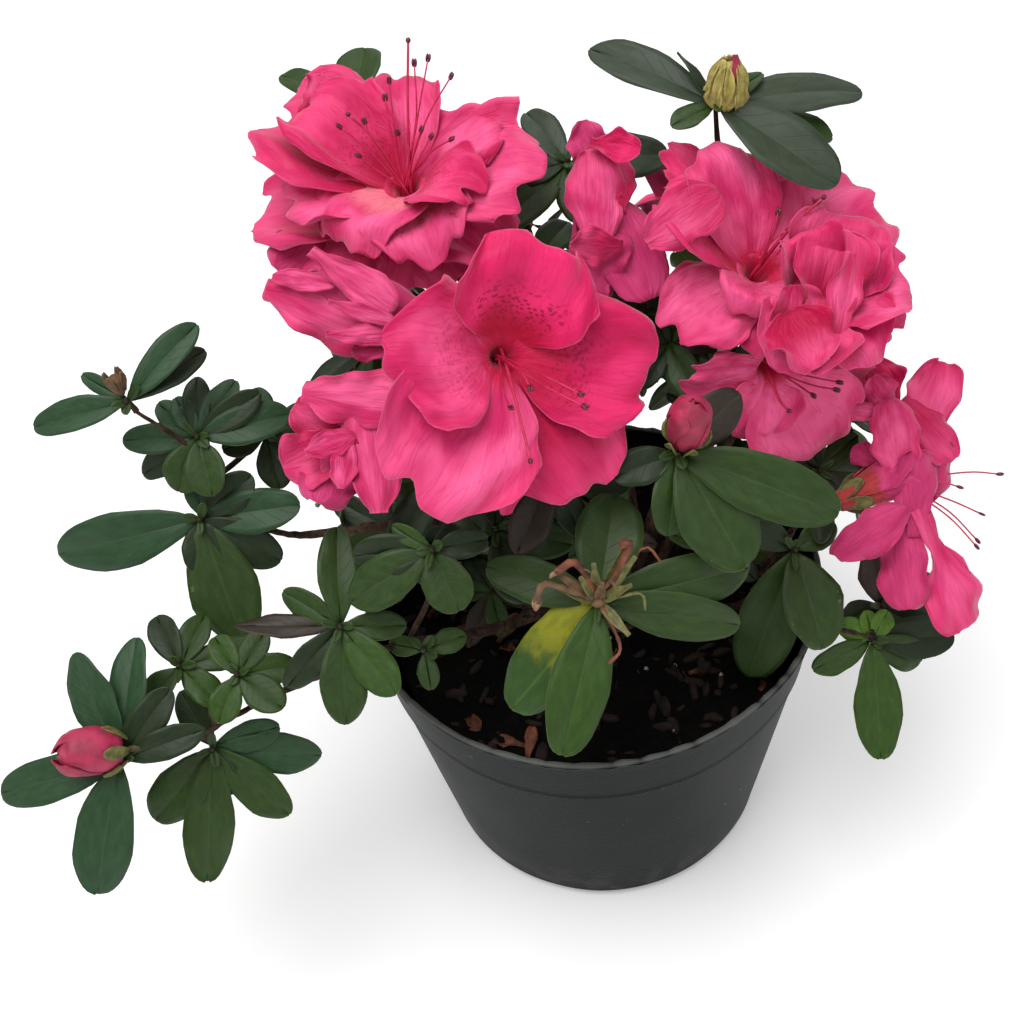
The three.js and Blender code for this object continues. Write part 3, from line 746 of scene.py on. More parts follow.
def stamen(cluster, foot, tip, facing, rng, pistil=False):
    """A curved filament from inside the throat, with an anther, or the knob of the pistil."""
    out = unit(facing)
    radius = PISTIL_RADIUS if pistil else STAMEN_RADIUS
    middle = foot + (tip - foot) * 0.55 + out * 1.2 + rng.normal(size=3) * 0.8
    line = smooth_line([foot - out * 7, foot - out * 2, middle, tip], 16)
    cluster.tube(line, np.linspace(radius * 1.3, radius, 16), 6)
    if pistil:
        cluster.lump(tip, line[-1] - line[-3], 1.5, 0.7, 6, 5, look="anther")
        return
    way = unit(line[-1] - line[-3] + rng.normal(size=3) * 0.3)
    for side in (-0.33, 0.33):
        beside = unit(np.cross(way, out)) * side
        cluster.lump(tip + beside, way, 2.2, 0.44, 6, 6, look="anther")


def calyx(cluster, foot, facing, rng, size=1.0, radius=1.2):
    """The five small sepals that hold the foot of a bloom."""
    right_up_out = plane(facing)
    for k in range(SEPALS):
        way = turned(360 / SEPALS * k + rng.uniform(-10, 10)) @ right_up_out
        tip_way = unit(way * 0.55 + right_up_out[2])
        blade(cluster, foot + way * radius, tip_way, -way, 6.5 * size, 3.6 * size, LEAF_OUTLINE,
              SEPAL_COLUMNS, 6, cup=-0.5, thickness=0.4, rng=rng)


# Each open bloom: where its throat is in its node's box, the way that it faces, its tube's
# length, its lobes as (angle, length, width, lift, more), and the tips of its stamens and
# pistils as they are seen from the front: (right, up, towards the viewer) from the throat. Some
# have loose petals too, given as for the half-open blooms below. A bloom's node is bloom_ and
# its name, unless its row says another.
OPEN = {
    "front": dict(
        heart=(0.44, 0.70, 0.445), facing=(0.28, -0.72, 0.62), tube=9,
        lobes=[
            (274, 39, 24, -3, dict(layer=-4, ruffle=2.0)),
            (311, 42, 40, 3, dict(layer=-2.0, mark_and_glow=0.4, deep_and_shade=0.9, roll=0.3, ruffle=3.8)),
            (358, 39, 40, 6, dict(layer=-0.3, mark_and_glow=0.7, deep_and_shade=0.3, ruffle=4.2)),
            (81, 28.5, 44, 12, dict(layer=2.0, mark_and_glow=1.0, curl=3, blunt=0.16, ruffle=3.8)),
            (182, 31, 42, 8, dict(layer=0.4, mark_and_glow=0.35, ruffle=4.0)),
            (239, 43, 46, 8, dict(layer=-0.6, ruffle=4.6)),
        ],
        stamens=[(6.3, -9, 13), (1.8, -13.5, 12), (18, -10.5, 14), (19, -13.3, 13)],
        pistils=[(6.3, -26, 14)],
    ),
    "top_left": dict(
        heart=(0.53, 0.54, 0.58), facing=(-0.12, -0.22, 1.0), tube=12,
        lobes=[
            (203, 39, 36, -11, dict(layer=-2, deep_and_shade=0.6, blunt=0.1)),
            (252, 27, 32, -9, dict(layer=-3, curl=5)), (300, 27, 32, -9, dict(layer=-3, curl=5)),
            (328, 34, 30, -6, dict(layer=-2)),
            (177, 46, 40, -3, dict(layer=-3, deep_and_shade=0.9, blunt=0.1)),
            (155, 42, 44, 12, dict(layer=1.0, mark_and_glow=0.4, deep_and_shade=0.8, ruffle=4.6, blunt=0.12)),
            (148, 32, 32, 14, dict(layer=3.5, mark_and_glow=0.5, deep_and_shade=0.4, ruffle=3.8, blunt=0.14)),
            (100, 35, 28, 10, dict(mark_and_glow=0.2)), (32, 31, 26, 8, dict(layer=-0.5)),
            (0, 39, 42, 6, dict(layer=0.5, mark_and_glow=0.1, ruffle=4.2, blunt=0.14)),
            (332, 27, 26, 8, dict(layer=2.5, mark_and_glow=0.5, cup=0.3)),
            (190, 33, 36, 5, dict(layer=1.2, mark_and_glow=-0.5)),
            (294, 31, 32, 3, dict(layer=1.8, curl=6, mark_and_glow=-0.6)),
            (246, 27, 38, 5, dict(layer=2.4, curl=7, ruffle=4.2, mark_and_glow=-1.0)),
        ],
        petals=[
            (-21, 17, -5, 104, 14, 13, dict(lean=4, deep_and_shade=0.8, outline=(0.35, 0.35, 0.6))),
            (-21, -9, -8, 223, 19, 15, dict(turn=180)),
            (17, -11, -4, 283, 16, 13, dict(lean=-8, turn=180)),
        ],
        stamens=[(3.6, 27.4, 14), (7.2, 28.3, 15), (13, 24, 14), (-3, 23.5, 12),
                 (-4.2, 19.8, 10), (-16.3, 12.9, 8), (-9.8, 14.3, 8), (-11.7, 6.1, 5),
                 (-1.3, 11.6, 7), (5, 12.1, 8), (7.5, 10.6, 7), (12.8, 9.9, 7)],
        pistils=[(2.2, 32.4, 16), (-13.9, 15.7, 9)],
    ),
    "top_right": dict(
        heart=(0.45, 0.51, 0.385), facing=(0.15, -0.35, 0.92), tube=9,
        lobes=[
            (121, 42, 18, 10, dict(layer=-2.5, mark_and_glow=0.6)),
            (213, 28, 30, -2, dict(layer=-3, curl=4)), (250, 22, 32, -3, dict(layer=-3)),
            (338, 41, 40, 2, dict(layer=-3, mark_and_glow=0.2)), (75, 30, 30, 8, dict(layer=-1)),
            (32, 41, 42, 6, dict(mark_and_glow=0.1, ruffle=4.2)),
            (150, 31, 26, 12, dict(layer=1, mark_and_glow=0.5, deep_and_shade=0.3)),
            (117, 31, 30, 14, dict(layer=1.8, mark_and_glow=0.1, curl=2, blunt=0.15)),
            (258, 16, 30, 3, dict(layer=2, curl=6, ruffle=1.2, blunt=0.4)),
        ],
        petals=[
            (-12, 17, 12, 214, 22, 15, dict(lean=2, deep_and_shade=0.5, outline=(0.45, 0.35, 0.5))),
        ],
        stamens=[(3.7, 13.1, 8), (5.5, 5.1, 5), (13.4, 15.2, 10), (7, 9, 6)],
        pistils=[(14.6, 16.0, 11)],
    ),
    "double": dict(
        node="bloom_right", heart=(0.35, 0.74, 0.45), facing=(0.05, -0.45, 0.9), tube=6,
        lobes=[
            (64, 24, 34, 14, dict(layer=-3, cup=0.3)), (8, 23, 30, 11, dict(layer=-2, cup=0.4)),
            (305, 22, 30, 6, dict(layer=-1, cup=0.5)), (243, 23, 32, 5, dict(layer=0, cup=0.5)),
            (120, 16, 24, 15, dict(layer=-1, mark_and_glow=0.5)),
        ],
        petals=[
            (-2, -9, 2, 77, 28, 22, dict(lean=12, deep_and_shade=1.0, cup=0.5)),
            (3, -11, 6, 80, 23, 9, dict(lean=10, turn=20, outline=(0.55, 0.35, 0.5))),
            (-5.5, -12, 4, 96, 16, 15, dict(lean=15, deep_and_shade=0.9, cup=0.3, outline=(0.55, 0.35, 0.3))),
            (-9, -3, 7, 290, 17, 19, dict(lean=24, deep_and_shade=1.0, cup=0.35, outline=(0.5, 0.4, 0.45))),
        ],
    ),
    "pendant": dict(
        heart=(0.47, 0.92, 0.52), facing=(0.25, -0.95, 0.05), tube=10,
        lobes=[
            (192, 26, 16, 2, dict(layer=-1)), (5, 39, 30, 1, dict(layer=-3, mark_and_glow=0.3)),
            (60, 30, 30, 0, dict(layer=-4)), (268, 22, 32, 3, {}),
            (317, 37, 40, 3, dict(layer=1)),
        ],
        stamens=[(9, -7.5, 9), (15, -6, 9), (16, -4, 8), (18, 4, 7)],
        pistils=[(2.5, -11.5, 10)],
    ),
    "back_left": dict(
        heart=(0.50, 0.36, 0.40), facing=(-0.2, 0.85, 0.5), tube=20,
        lobes=[
            (60, 34, 40, 8, dict(mark_and_glow=0.9, layer=1)), (132, 33, 38, 7, dict(mark_and_glow=0.5)),
            (204, 34, 40, 6, dict(layer=-1)), (276, 33, 38, 6, dict(layer=0.6)),
            (348, 34, 40, 7, dict(mark_and_glow=0.8, layer=-0.5)),
        ],
        stamens=[(3, -14, -22), (-4, -10, -24), (8, -6, -24), (-8, -2, -22), (1, 2, -24)],
        pistils=[(2, -16, -28)],
    ),
    "back_right": dict(
        heart=(0.44, 0.36, 0.42), facing=(0.35, 0.8, 0.45), tube=20,
        lobes=[
            (80, 34, 40, 7, dict(mark_and_glow=1.0, layer=0.8)), (152, 33, 38, 6, dict(mark_and_glow=0.4)),
            (224, 34, 40, 7, dict(layer=-1)), (296, 33, 36, 8, dict(layer=1)),
            (8, 33, 40, 6, dict(mark_and_glow=0.6, layer=-0.4)),
        ],
        stamens=[(12, -12, -20), (4, -9, -22), (14, -4, -22), (3, 0, -20), (9, 2, -24)],
        pistils=[(10, -15, -26)],
    ),
}

# Blooms that are half open, or seen from the side: furled petals round an axis (angle, lean) as
# it is seen from the front, with loose petals as (right, up, towards, angle, length, width, more).
HALF_OPEN = {
    "far_right": dict(
        heart=(0.46, 0.55, 0.62),
        furled=dict(at=(-17.2, -6.5, -2), axis=(25, 0), count=3, ruffle=0.3, spin=10, half=75,
                    profile=[(2.6, 0), (4.2, 5), (5.6, 11), (6.6, 18), (8.6, 24)], start=-0.6),
        petals=[
            (3.5, 8, -3, 67, 28, 15, dict(lean=-6, mark_and_glow=0.2, outline=(0.6, 0.35, 0.32))),
            (-1, 22, 3, 313, 23, 11, dict(lean=-5, mark_and_glow=0.1, deep_and_shade=0.7, outline=(0.6, 0.4, 0.3))),
            (-4, 19, 3, 181, 14, 6, dict(cup=-0.2)),
            (-5, 22, 4, 281, 22, 14, dict(lean=2, cup=-0.1, outline=(0.45, 0.35, 0.5))),
            (-3, 18, 2, 121, 12, 10, dict(lean=10, cup=-0.2)),
            (-0.5, 18, -4, 117, 18, 15, dict(lean=-3, mark_and_glow=0.9)),
            (-2, 21.5, -2, 176, 16, 7, dict(mark_and_glow=0.8)),
            (0, -12, 0, 63, 26, 16, dict(lean=-4, turn=180, cup=0.4)),
            (0, -8, 4, 215, 24, 12, dict(lean=2, turn=190, ruffle=2.8, outline=(0.5, 0.4, 0.4))),
            (-2, -8, 1, 277, 28, 14, dict(turn=200, ruffle=2.4, outline=(0.6, 0.4, 0.3))),
            (2.5, -16, 3, 89, 24, 13, dict(turn=180, cup=0.2)),
            (4, -8, 3, 293, 36, 18, dict(turn=-12, outline=(0.84, 0.36, 0.12))),
            (-3, 4.5, -3, 160, 11, 7, dict(lean=-5, turn=180)),
        ],
        calyx=1.4,
        stamens=[(27.5, 1.5, -1), (15, -2.2, 3), (21.7, -9.6, 1), (20.6, -17, 1), (20, -18.6, 2)],
    ),
    "half_left": dict(
        heart=(0.80, 0.62, 0.30),
        furled=dict(at=(2, 0, -1), axis=(160, 4), count=4, ruffle=0.9, spin=40, half=85,
                    profile=[(3, -6), (6, 0), (7.5, 6), (7, 14), (5, 23), (4, 30)]),
        petals=[
            (0, -5, 4, 161, 35, 19,
             dict(lean=6, turn=-12, cup=-0.15, fold=-0.15, outline=(0.36, 0.4, 0.5))),
            (-15, 7, 9, 170, 16, 5, dict(lean=-3, outline=(0.5, 0.4, 0.3))),
            (0.5, 1.5, 9, 147, 25, 10, dict(lean=12, fold=-0.2, outline=(0.35, 0.4, 0.9))),
            (0, -2, 9, 164, 17, 4.5, dict(lean=11, outline=(0.4, 0.4, 0.8))),
            (-1, -5, 8, 181, 16, 6, dict(lean=11, fold=-0.2, outline=(0.4, 0.4, 0.7))),
            (1, -7.5, 6, 186, 12, 6.5, dict(lean=-5, turn=180)),
        ],
    ),
    "half_low": dict(
        heart=(1.0, 0.73, 0.98),
        furled=dict(at=(1, 1, -6), axis=(236, 18), count=4, ruffle=1.4, spin=25, half=62,
                    profile=[(2, -6), (4, 1), (6.5, 10), (8, 17), (8.5, 23)]),
        petals=[
            (4, -5, 12, 175, 27, 15, dict(lean=2, turn=-15, outline=(0.4, 0.35, 0.6))),
            (-11, -13, 3, 150, 17, 13, dict(lean=12, deep_and_shade=0.7)),
            (-11, -14, 2, 200, 19, 16, dict(lean=15, deep_and_shade=0.9, cup=0.4)),
            (-10, -12.5, 9, 200, 13, 7, dict(lean=12, outline=(0.5, 0.4, 0.6))),
            (-6.5, -1, 9, 275, 31, 15, dict(lean=5, fold=-0.2, outline=(0.45, 0.4, 0.5))),
            (-13, -13, 4, 248, 18, 16, dict(lean=8, turn=180, cup=0.3)),
            (-12, -14, 9, 264, 12, 7, dict(lean=10, outline=(0.5, 0.4, 0.5))),
        ],
    ),
    "top_centre": dict(
        heart=(0.26, 0.0, 0.05),
        furled=dict(at=(0, -4, -7), axis=(91, 8), count=4, ruffle=1.0, spin=70, half=80,
                    profile=[(2, -4), (4, 4), (6, 14), (5.5, 26), (4, 34)]),
        petals=[
            (0.5, 13, 6, 96, 24, 16, dict(lean=7, cup=-0.3, outline=(0.55, 0.4, 0.35))),
            (0, 31, 2, 106, 15, 11, dict(turn=180, outline=(0.5, 0.35, 0.4))),
            (-2.5, 38, 9, 348, 13, 9, dict(lean=14, mark_and_glow=0.9, cup=0.4)),
            (6, 21, 4, 90, 14, 8, dict(lean=4, deep_and_shade=0.8, cup=-0.2)),
            (13.5, -1, 2, 111, 28, 17, dict(turn=180, outline=(0.45, 0.35, 0.5))),
            (6, 12, 7, 184, 14, 10, dict(lean=14, turn=-30, deep_and_shade=0.8, outline=(0.6, 0.5, 0.4))),
            (0, 0, 2, 88, 18, 17, dict(lean=6, turn=180)),
        ],
    ),
}


def make_petals(petals, heart, spec, rng):
    """The petals of one bloom. Gives its foot, and the way that it faces."""
    for angle, length, width, lift, more in spec.get("lobes", []):
        lobe(petals, heart, spec["facing"], spec["tube"], angle, length, width, lift,
             rng=rng, **more)
    if "lobes" in spec:
        facing = spec["facing"]
        foot = heart - unit(facing) * (spec["tube"] - 1.0)
    else:
        wrap = dict(spec["furled"])
        foot, facing = heart + np.array(wrap.pop("at")) @ VIEW, view_axis(*wrap.pop("axis"))
        furled(petals, foot, facing, rng=rng, **wrap)
    for right, up, towards, angle, length, width, more in spec.get("petals", []):
        base = heart + np.array([right, up, towards]) @ VIEW
        loose_petal(petals, base, angle, length, width, rng=rng, **more)
    return foot, facing


def make_blooms(greens, wood):
    """Each bloom's petals and stamens, with its calyx and its stalk."""
    for number, (name, spec) in enumerate([*OPEN.items(), *HALF_OPEN.items()]):
        rng = np.random.default_rng([SEED, 1, number])
        petals = Cluster("petals_" + name, "petal", "petal")
        stamens = Cluster("stamens_" + name, "petal", "filament", "anther")
        node = spec.get("node", "bloom_" + name)
        heart = spot(node, spec["heart"])
        foot, facing = make_petals(petals, heart, spec, rng)
        for kind in ("stamens", "pistils"):
            for place in spec.get(kind, []):
                tip = heart + np.array(place) @ VIEW
                stamen(stamens, heart + rng.normal(size=3) * 0.5, tip, facing, rng,
                       pistil=kind == "pistils")
        petals.build(node)
        if stamens.count:
            stamens.build()
        if name != "double":  # its foot is inside the bloom beside it
            calyx(greens, foot, facing, rng, spec.get("calyx", 1.0))
        wood.stalk(foot, unit(facing))


# ---- Stem, limbs and twigs ----
RING_GAP = 3.0  # a limb's rings of vertices are further apart than this
NEAR_CROWN = 16  # a limb that starts this near the stem's top grows from it


def limb_line(node):
    """The middle line of a CAD limb from foot to tip, and its radii there."""
    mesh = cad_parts[node].data
    points = np.array([v.co for v in mesh.vertices]) / MM
    points = np.unique(np.round(points, 2), axis=0)
    chord = np.linalg.svd(points - points.mean(0))[2][0]
    points = points[np.argsort(points @ chord)]
    reach = points @ chord
    rings = np.split(points, np.nonzero(np.diff(reach) > RING_GAP)[0] + 1)
    rings = [ring for ring in rings if len(ring) > 3]
    centres = np.array([(ring.min(0) + ring.max(0)) / 2 for ring in rings])
    radii = np.array([np.linalg.norm(r - c, axis=1).mean() for r, c in zip(rings, centres)])
    if radii[-1] > radii[0]:
        centres, radii = centres[::-1], radii[::-1]
    return centres, np.linspace(radii.max(), radii.min(), len(radii))


class Wood:
    """The stem and limbs with their bark, and the twigs and stalks that grow from them."""

    def __init__(self):
        self.limbs = Cluster("stem_and_limbs", "bark", "bark")
        self.twigs = Cluster("twigs", "bark", "bark", "shoot")
        self.rng = np.random.default_rng([SEED, 3])
        self.lines = {node: limb_line(node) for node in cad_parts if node.startswith("limb_")}
        self.reach = np.vstack([smooth_line(line, 40)[4:] for line, _ in self.lines.values()])
        low, high = box("stem")
        crown = np.array([(low[0] + high[0]) / 2 + 1, 1.0, high[2] - 2])
        self._stem(low, high)
        for node, (line, radii) in self.lines.items():
            self._limb(node, line, radii, crown)

    def _stem(self, low, high):
        heights = np.linspace(low[2] - 4, high[2] - 0.5, 14)
        share = np.clip((heights - low[2]) / (high[2] - low[2]), 0, 1)
        middle = (low + high) / 2
        line = np.stack([middle[0] - 1.5 + 3 * share, middle[1] + 0 * share, heights], 1)
        radii = 3.8 + 3.6 * (1 - share) ** 3
        self.limbs.tube(line, radii, 20, 0.55)

    def _limb(self, node, line, radii, crown):
        """Each limb starts inside what it grows from: the stem's top, or another limb."""
        others = np.vstack([smooth_line(l, 30) for n, (l, _) in self.lines.items() if n != node])
        nearest = others[np.argmin(np.linalg.norm(others - line[0], axis=1))]
        root = crown if np.linalg.norm(crown - line[0]) < NEAR_CROWN else nearest
        route = smooth_line(np.vstack([root, line]), 8 * len(line))
        self.limbs.tube(route, np.linspace(radii[0], radii[-1] * 0.62, len(route)), 12, 0.25)

    def twig(self, hub, out, foot_radius=0.9, tip_radius=0.6, look="bark"):
        """A twig from the nearest limb to a hub, arriving from the side that it faces away."""
        foot = self.reach[np.argmin(np.linalg.norm(self.reach - hub, axis=1))]
        span = np.linalg.norm(hub - foot)
        middle = (foot + hub) / 2 - unit(out) * 0.18 * span + self.rng.normal(size=3) * 0.03 * span
        line = smooth_line([foot, middle, hub], max(6, int(span / 2.5)))
        self.twigs.tube(line, np.linspace(foot_radius, tip_radius, len(line)), 8, 0.16, look)

    def stalk(self, foot, out):
        self.twig(foot, out, 1.2, 1.0, "shoot")

    def build(self):
        self.limbs.build("stem", *self.lines)
        self.twigs.build()


# ---- Leaf rosettes ----
# Each rosette: its hub as shares of its node's box, the way that it faces, and its leaves
# as (angle, length, width, kind) with more shape where it matters.
ROSETTES = {
    "left_tip": ((0.57, 0.39, 0.38), (-0.1, -0.7, 0.7), [
        (152, 15, 5, "cool"), (38, 22, 9, "dark", dict(rise=-0.2)),
        (50, 26, 9.5, "cool"), (194, 27, 10, "cool")]),
    "left_crown": ((0.45, 0.44, 0.41), (0.1, -0.7, 0.7), [
        (140, 14, 8, "cool"), (212, 18, 9, "dark", dict(rise=-0.2)), (182, 20, 9, "cool"),
        (92, 16, 8, "dark"), (120, 12, 7, "cool"), (58, 18, 8.5, "cool"), (36, 20, 9, "dark"),
        (15, 25, 12, "cool"), (250, 15, 12, "mid"), (285, 16, 12, "mid")]),
    "left_crest": ((0.41, 0.47, 0.57), (0.3, -0.6, 0.7), [
        (200, 12, 8, "dark"), (100, 13, 8, "cool"), (25, 19, 10, "dark"), (330, 21, 13, "cool"),
        (285, 15, 10, "dark")]),
    "left_low": ((0.61, 0.67, 0.72), (0, -0.8, 0.6), [
        (95, 12, 8, "cool"), (8, 27, 13, "cool"), (40, 18, 11, "dark"), (264, 14, 9, "dark"),
        (195, 43, 16.5, "cool", dict(rise=0.05, twist=-10)), (287, 36, 20, "mid", dict(twist=5)),
        (330, 24, 13, "dark")]),
    "left_bud": ((0.61, 0.52, 0.53), (-0.1, -0.7, 0.7), [
        (86, 31, 12, "cool"), (114, 30, 13, "cool"), (20, 23, 9, "dark"), (55, 22, 10, "dark"),
        (197, 37, 13, "cool"), (258, 37, 16.5, "cool")]),
    "left_fan": ((0.42, 0.68, 0.69), (0.1, -0.8, 0.6), [
        (118, 17, 9, "dark"), (16, 18, 9, "cool"), (290, 14, 8, "dark"), (352, 29, 12, "cool"),
        (316, 28, 12, "mid"), (233, 26, 14, "mid"), (267, 38, 14, "mid")]),
    "left_top": ((0.30, 0.38, 0.43), (0, -0.5, 0.85), [
        (18, 22, 9, "mid"), (71, 15, 9, "mid"), (120, 16, 9, "dark"), (228, 14, 9, "mid"),
        (320, 15, 9, "green")]),
    "left_small": ((0.32, 0.51, 0.51), (0, -0.5, 0.85), [
        (10, 15, 9, "green"), (60, 13, 8, "mid"), (125, 12, 8, "green"), (250, 13, 9, "green"),
        (325, 15, 10, "mid")]),
    "left_inner": ((0.63, 0.50, 0.50), (0, -0.7, 0.7), [
        (180, 27, 7, "bronze", dict(twist=60)), (228, 21, 9, "dark"), (150, 17, 8, "mid"),
        (94, 25, 11, "mid"), (0, 16, 8, "mid"), (310, 22, 11, "green"), (273, 25, 12.5, "mid")]),
    "front_left": ((0.63, 0.62, 0.65), (-0.1, -0.7, 0.7), [
        (185, 20, 11, "dark"), (212, 25, 13, "mid"), (293, 16, 13, "mid"), (10, 13, 8, "dark"),
        (150, 11, 5, "green")]),
    "front_sprig": ((0.42, 0.62, 0.58), (0, -0.6, 0.8), [
        (20, 11, 7, "green"), (170, 9, 6, "green"), (280, 10, 6, "mid")]),
    "front": ((0.44, 0.60, 0.60), (0, -0.7, 0.7), [
        (163, 29, 12, "mid", dict(rise=0.0)), (80, 27, 18, "mid", dict(rise=-0.1)),
        (350, 37, 13, "mid"), (12, 40, 15, "mid"),
        (233, 36, 19, "yellow", dict(rise=-0.12, fold=-0.1, twist=8, outline=(0.46, 0.34, 0.36))),
        (257, 40, 16, "green", dict(rise=0.16))]),
    "front_mid": ((0.46, 0.55, 0.55), (0, -0.6, 0.8), [
        (90, 16, 10, "dark"), (190, 16, 9, "dark"), (290, 20, 12, "dark"), (350, 20, 11, "mid")]),
    "front_right": ((0.29, 0.62, 0.66), (0.1, -0.7, 0.7), [
        (43, 22, 12, "bronze"), (200, 16, 10, "dark"), (265, 20, 12, "mid"),
        (302, 33, 20, "mid"), (340, 43, 17, "mid", dict(rise=0.1))]),
    "right": ((0.63, 0.74, 0.73), (0.1, -0.75, 0.65), [
        (30, 14, 9, "mid"), (150, 14, 9, "dark"), (254, 38, 18, "mid", dict(rise=-0.1)),
        (285, 28, 18.5, "mid", dict(rise=0.32))]),
    "right_low": ((0.39, 0.76, 0.78), (0.1, -0.7, 0.7), [
        (3, 25, 13, "dark"), (340, 17, 11, "mid"), (207, 18, 9, "green"), (150, 10, 7, "fresh"),
        (60, 9, 7, "fresh"), (100, 8, 6, "fresh"), (275, 34, 14, "green")]),
    "right_dark": ((0.38, 0.44, 0.54), (0.3, -0.6, 0.6), [
        (100, 16, 13, "bronze"), (20, 20, 12, "dark"), (200, 12, 9, "dark"),
        (330, 22, 13, "dark")]),
    "top_right": ((0.43, 0.50, 0.50), (0, -0.4, 0.9), [
        (128, 15, 4, "dark", dict(twist=60, rise=0.6)), (10, 38, 14, "grey"),
        (148, 37, 11.7, "grey"), (207, 12, 7, "mid"), (35, 14, 6, "mid"),
        (350, 30, 12, "mid", dict(rise=-0.15)),
        (325, 36, 16.5, "grey", dict(rise=-0.08, droop=0.08))]),
    "top_centre": ((0.47, 0.52, 0.51), (0, -0.4, 0.9), [
        (165, 14, 7, "dark"), (122, 21, 10, "grey"), (8, 27, 13, "grey"), (226, 31, 14, "mid"),
        (280, 18, 10, "mid"), (195, 16, 9, "dark")]),
    "top_left": ((0.53, 0.37, 0.50), (-0.1, 0, 1), [
        (20, 16, 9, "mid"), (90, 21, 15, "mid", dict(rise=0.4, droop=0.1)),
        (155, 26, 9, "mid", dict(rise=0.4)), (265, 12, 8, "dark")]),
}

# Whorls in the shade between the blooms: node, place in its box, facing, leaves and length.
INNER_KINDS = ["dark", "bronze", "dark", "mid"]
INNER_WHORLS = [
    ("bloom_top_right", (0.12, 0.50, -0.05), (-0.2, -0.5, 0.8), 6, 17),
    ("bloom_top_right", (0.02, 0.60, 0.10), (-0.3, -0.3, 0.8), 5, 18),
    ("bloom_front", (0.55, 0.70, -0.25), (0.2, -0.6, 0.7), 6, 22),
    ("bloom_front", (0.15, 0.65, -0.15), (-0.3, -0.6, 0.6), 6, 21),
    ("bloom_top_left", (0.35, 0.30, -0.40), (-0.5, -0.3, 0.6), 5, 20),
    ("bloom_top_left", (0.92, 0.35, 0.05), (0.4, -0.3, 0.8), 6, 19),
    ("bloom_top_left", (0.60, 0.95, 0.10), (0.1, 0.5, 0.8), 6, 22),
    ("bloom_top_right", (0.55, 0.95, 0.10), (0.1, 0.5, 0.8), 6, 22),
    ("soil", (0.26, 0.42, 1.32), (-0.2, -0.5, 0.85), 6, 17),
    ("soil", (0.80, 0.46, 1.36), (0.2, -0.5, 0.85), 6, 18),
    ("soil", (0.56, 0.50, 1.40), (0.1, -0.5, 0.85), 5, 17),
]


def whorl(cluster, hub, facing, count, length, kinds, rng):
    """Leaves all round a hub, of much the same length."""
    for k in range(count):
        angle = 360 * k / count + rng.uniform(-14, 14)
        reach = length * rng.uniform(0.8, 1.15)
        kind = kinds[rng.integers(len(kinds))]
        leaf(cluster, hub + unit(facing) * 0.3 * k, facing, angle, reach,
             reach * rng.uniform(0.42, 0.52), kind, rng, rise=rng.uniform(0.05, 0.6))


def heart_leaves(cluster, hub, facing, rng):
    """The youngest leaves in the middle of a rosette, round a small leaf bud."""
    for k in range(3):
        angle = 120 * k + rng.uniform(0, 90)
        leaf(cluster, hub, facing, angle, rng.uniform(3, 5.5), rng.uniform(2, 3), "mid", rng,
             rise=rng.uniform(0.4, 0.9), stalk=0.5)
    cluster.lump(hub, facing, 4.2, 1.0, 8, 6, look="leaf_bronze", across=0.5)


def make_rosettes(wood):
    for name, (hub_shares, facing, leaves) in ROSETTES.items():
        node = "rosette_" + name
        rng = np.random.default_rng([SEED, 4, len(name), ord(name[-1]), ord(name[0])])
        hub = spot(node, hub_shares)
        cluster = Cluster("leaves_" + name, "leaf", *LEAF_LOOKS)
        for k, (angle, length, width, kind, *more) in enumerate(leaves):
            base = hub + turned(angle) @ plane(facing) * 0.8 + unit(facing) * 0.25 * k
            shape = more[0] if more else {}
            leaf(cluster, base, facing, angle, length, width, kind, rng, **shape)
        heart_leaves(cluster, hub + unit(facing) * 0.25 * len(leaves), facing, rng)
        cluster.build(node)
        wood.twig(hub, facing)


def make_inner_whorls(wood):
    """The whorls between the blooms, in one mesh with a twig to each."""
    cluster = Cluster("leaves_inner", "leaf", *LEAF_LOOKS)
    rng = np.random.default_rng([SEED, 8])
    for node, shares, facing, count, length in INNER_WHORLS:
        whorl(cluster, spot(node, shares), facing, count, length, INNER_KINDS, rng)
        wood.twig(spot(node, shares), facing)
    cluster.build()


# ---- Foliage masses ----
MASS_KINDS = ["mid", "dark", "mid", "green", "dark", "grey"]  # a leaf is of any one of these
MASSES = [  # each mass: its name, its whorls, and the way that most of them face
    ("back_left", 10, (-0.3, 1, 0)), ("back", 10, (0, 1, 0)), ("back_right", 10, (0.4, 1, 0)),
    ("left", 6, (-1, 0.4, 0)), ("right", 7, (1, 0.3, 0)),
]
SPIRAL = 2.4  # radians from one whorl of a mass to the next, which spreads them evenly


def make_mass(name, whorls, away, wood):
    """A mass of foliage: shoots from the limbs to its surface, each ending in a whorl."""
    node = "mass_" + name
    rng = np.random.default_rng([SEED, 5, len(name), ord(name[-1])])
    low, high = box(node)
    middle, half = (low + high) / 2, (high - low) / 2
    cluster = Cluster("leaves_mass_" + name, "leaf", *LEAF_LOOKS)
    for k in range(whorls):
        height = 0.9 - 1.75 * (k + 0.5) / whorls
        turn = SPIRAL * k + rng.uniform(-0.3, 0.3)
        ring = math.sqrt(1 - height * height)
        out = np.array([ring * math.cos(turn), ring * math.sin(turn), height])
        out = unit(out + 0.35 * unit(away))
        hub = middle + half * out * rng.uniform(0.55, 0.8)
        facing = unit(out + [0, 0, 0.5])
        wood.twig(hub, facing)
        whorl(cluster, hub, facing, rng.integers(5, 8), rng.uniform(19, 24), MASS_KINDS, rng)
        heart_leaves(cluster, hub + unit(facing) * 1.5, facing, rng)
    cluster.build(node)


# ---- Buds ----
PINK_BUDS = [  # node, where its foot is in the node's box, axis, length and radius
    ("bud_centre", (0.42, 0.6, 0.05), (0.1, -0.2, 0.95), 18, 5.4),
    ("bud_left", (0.95, 0.6, 0.35), (-0.93, -0.2, 0.3), 18, 6.4),
]
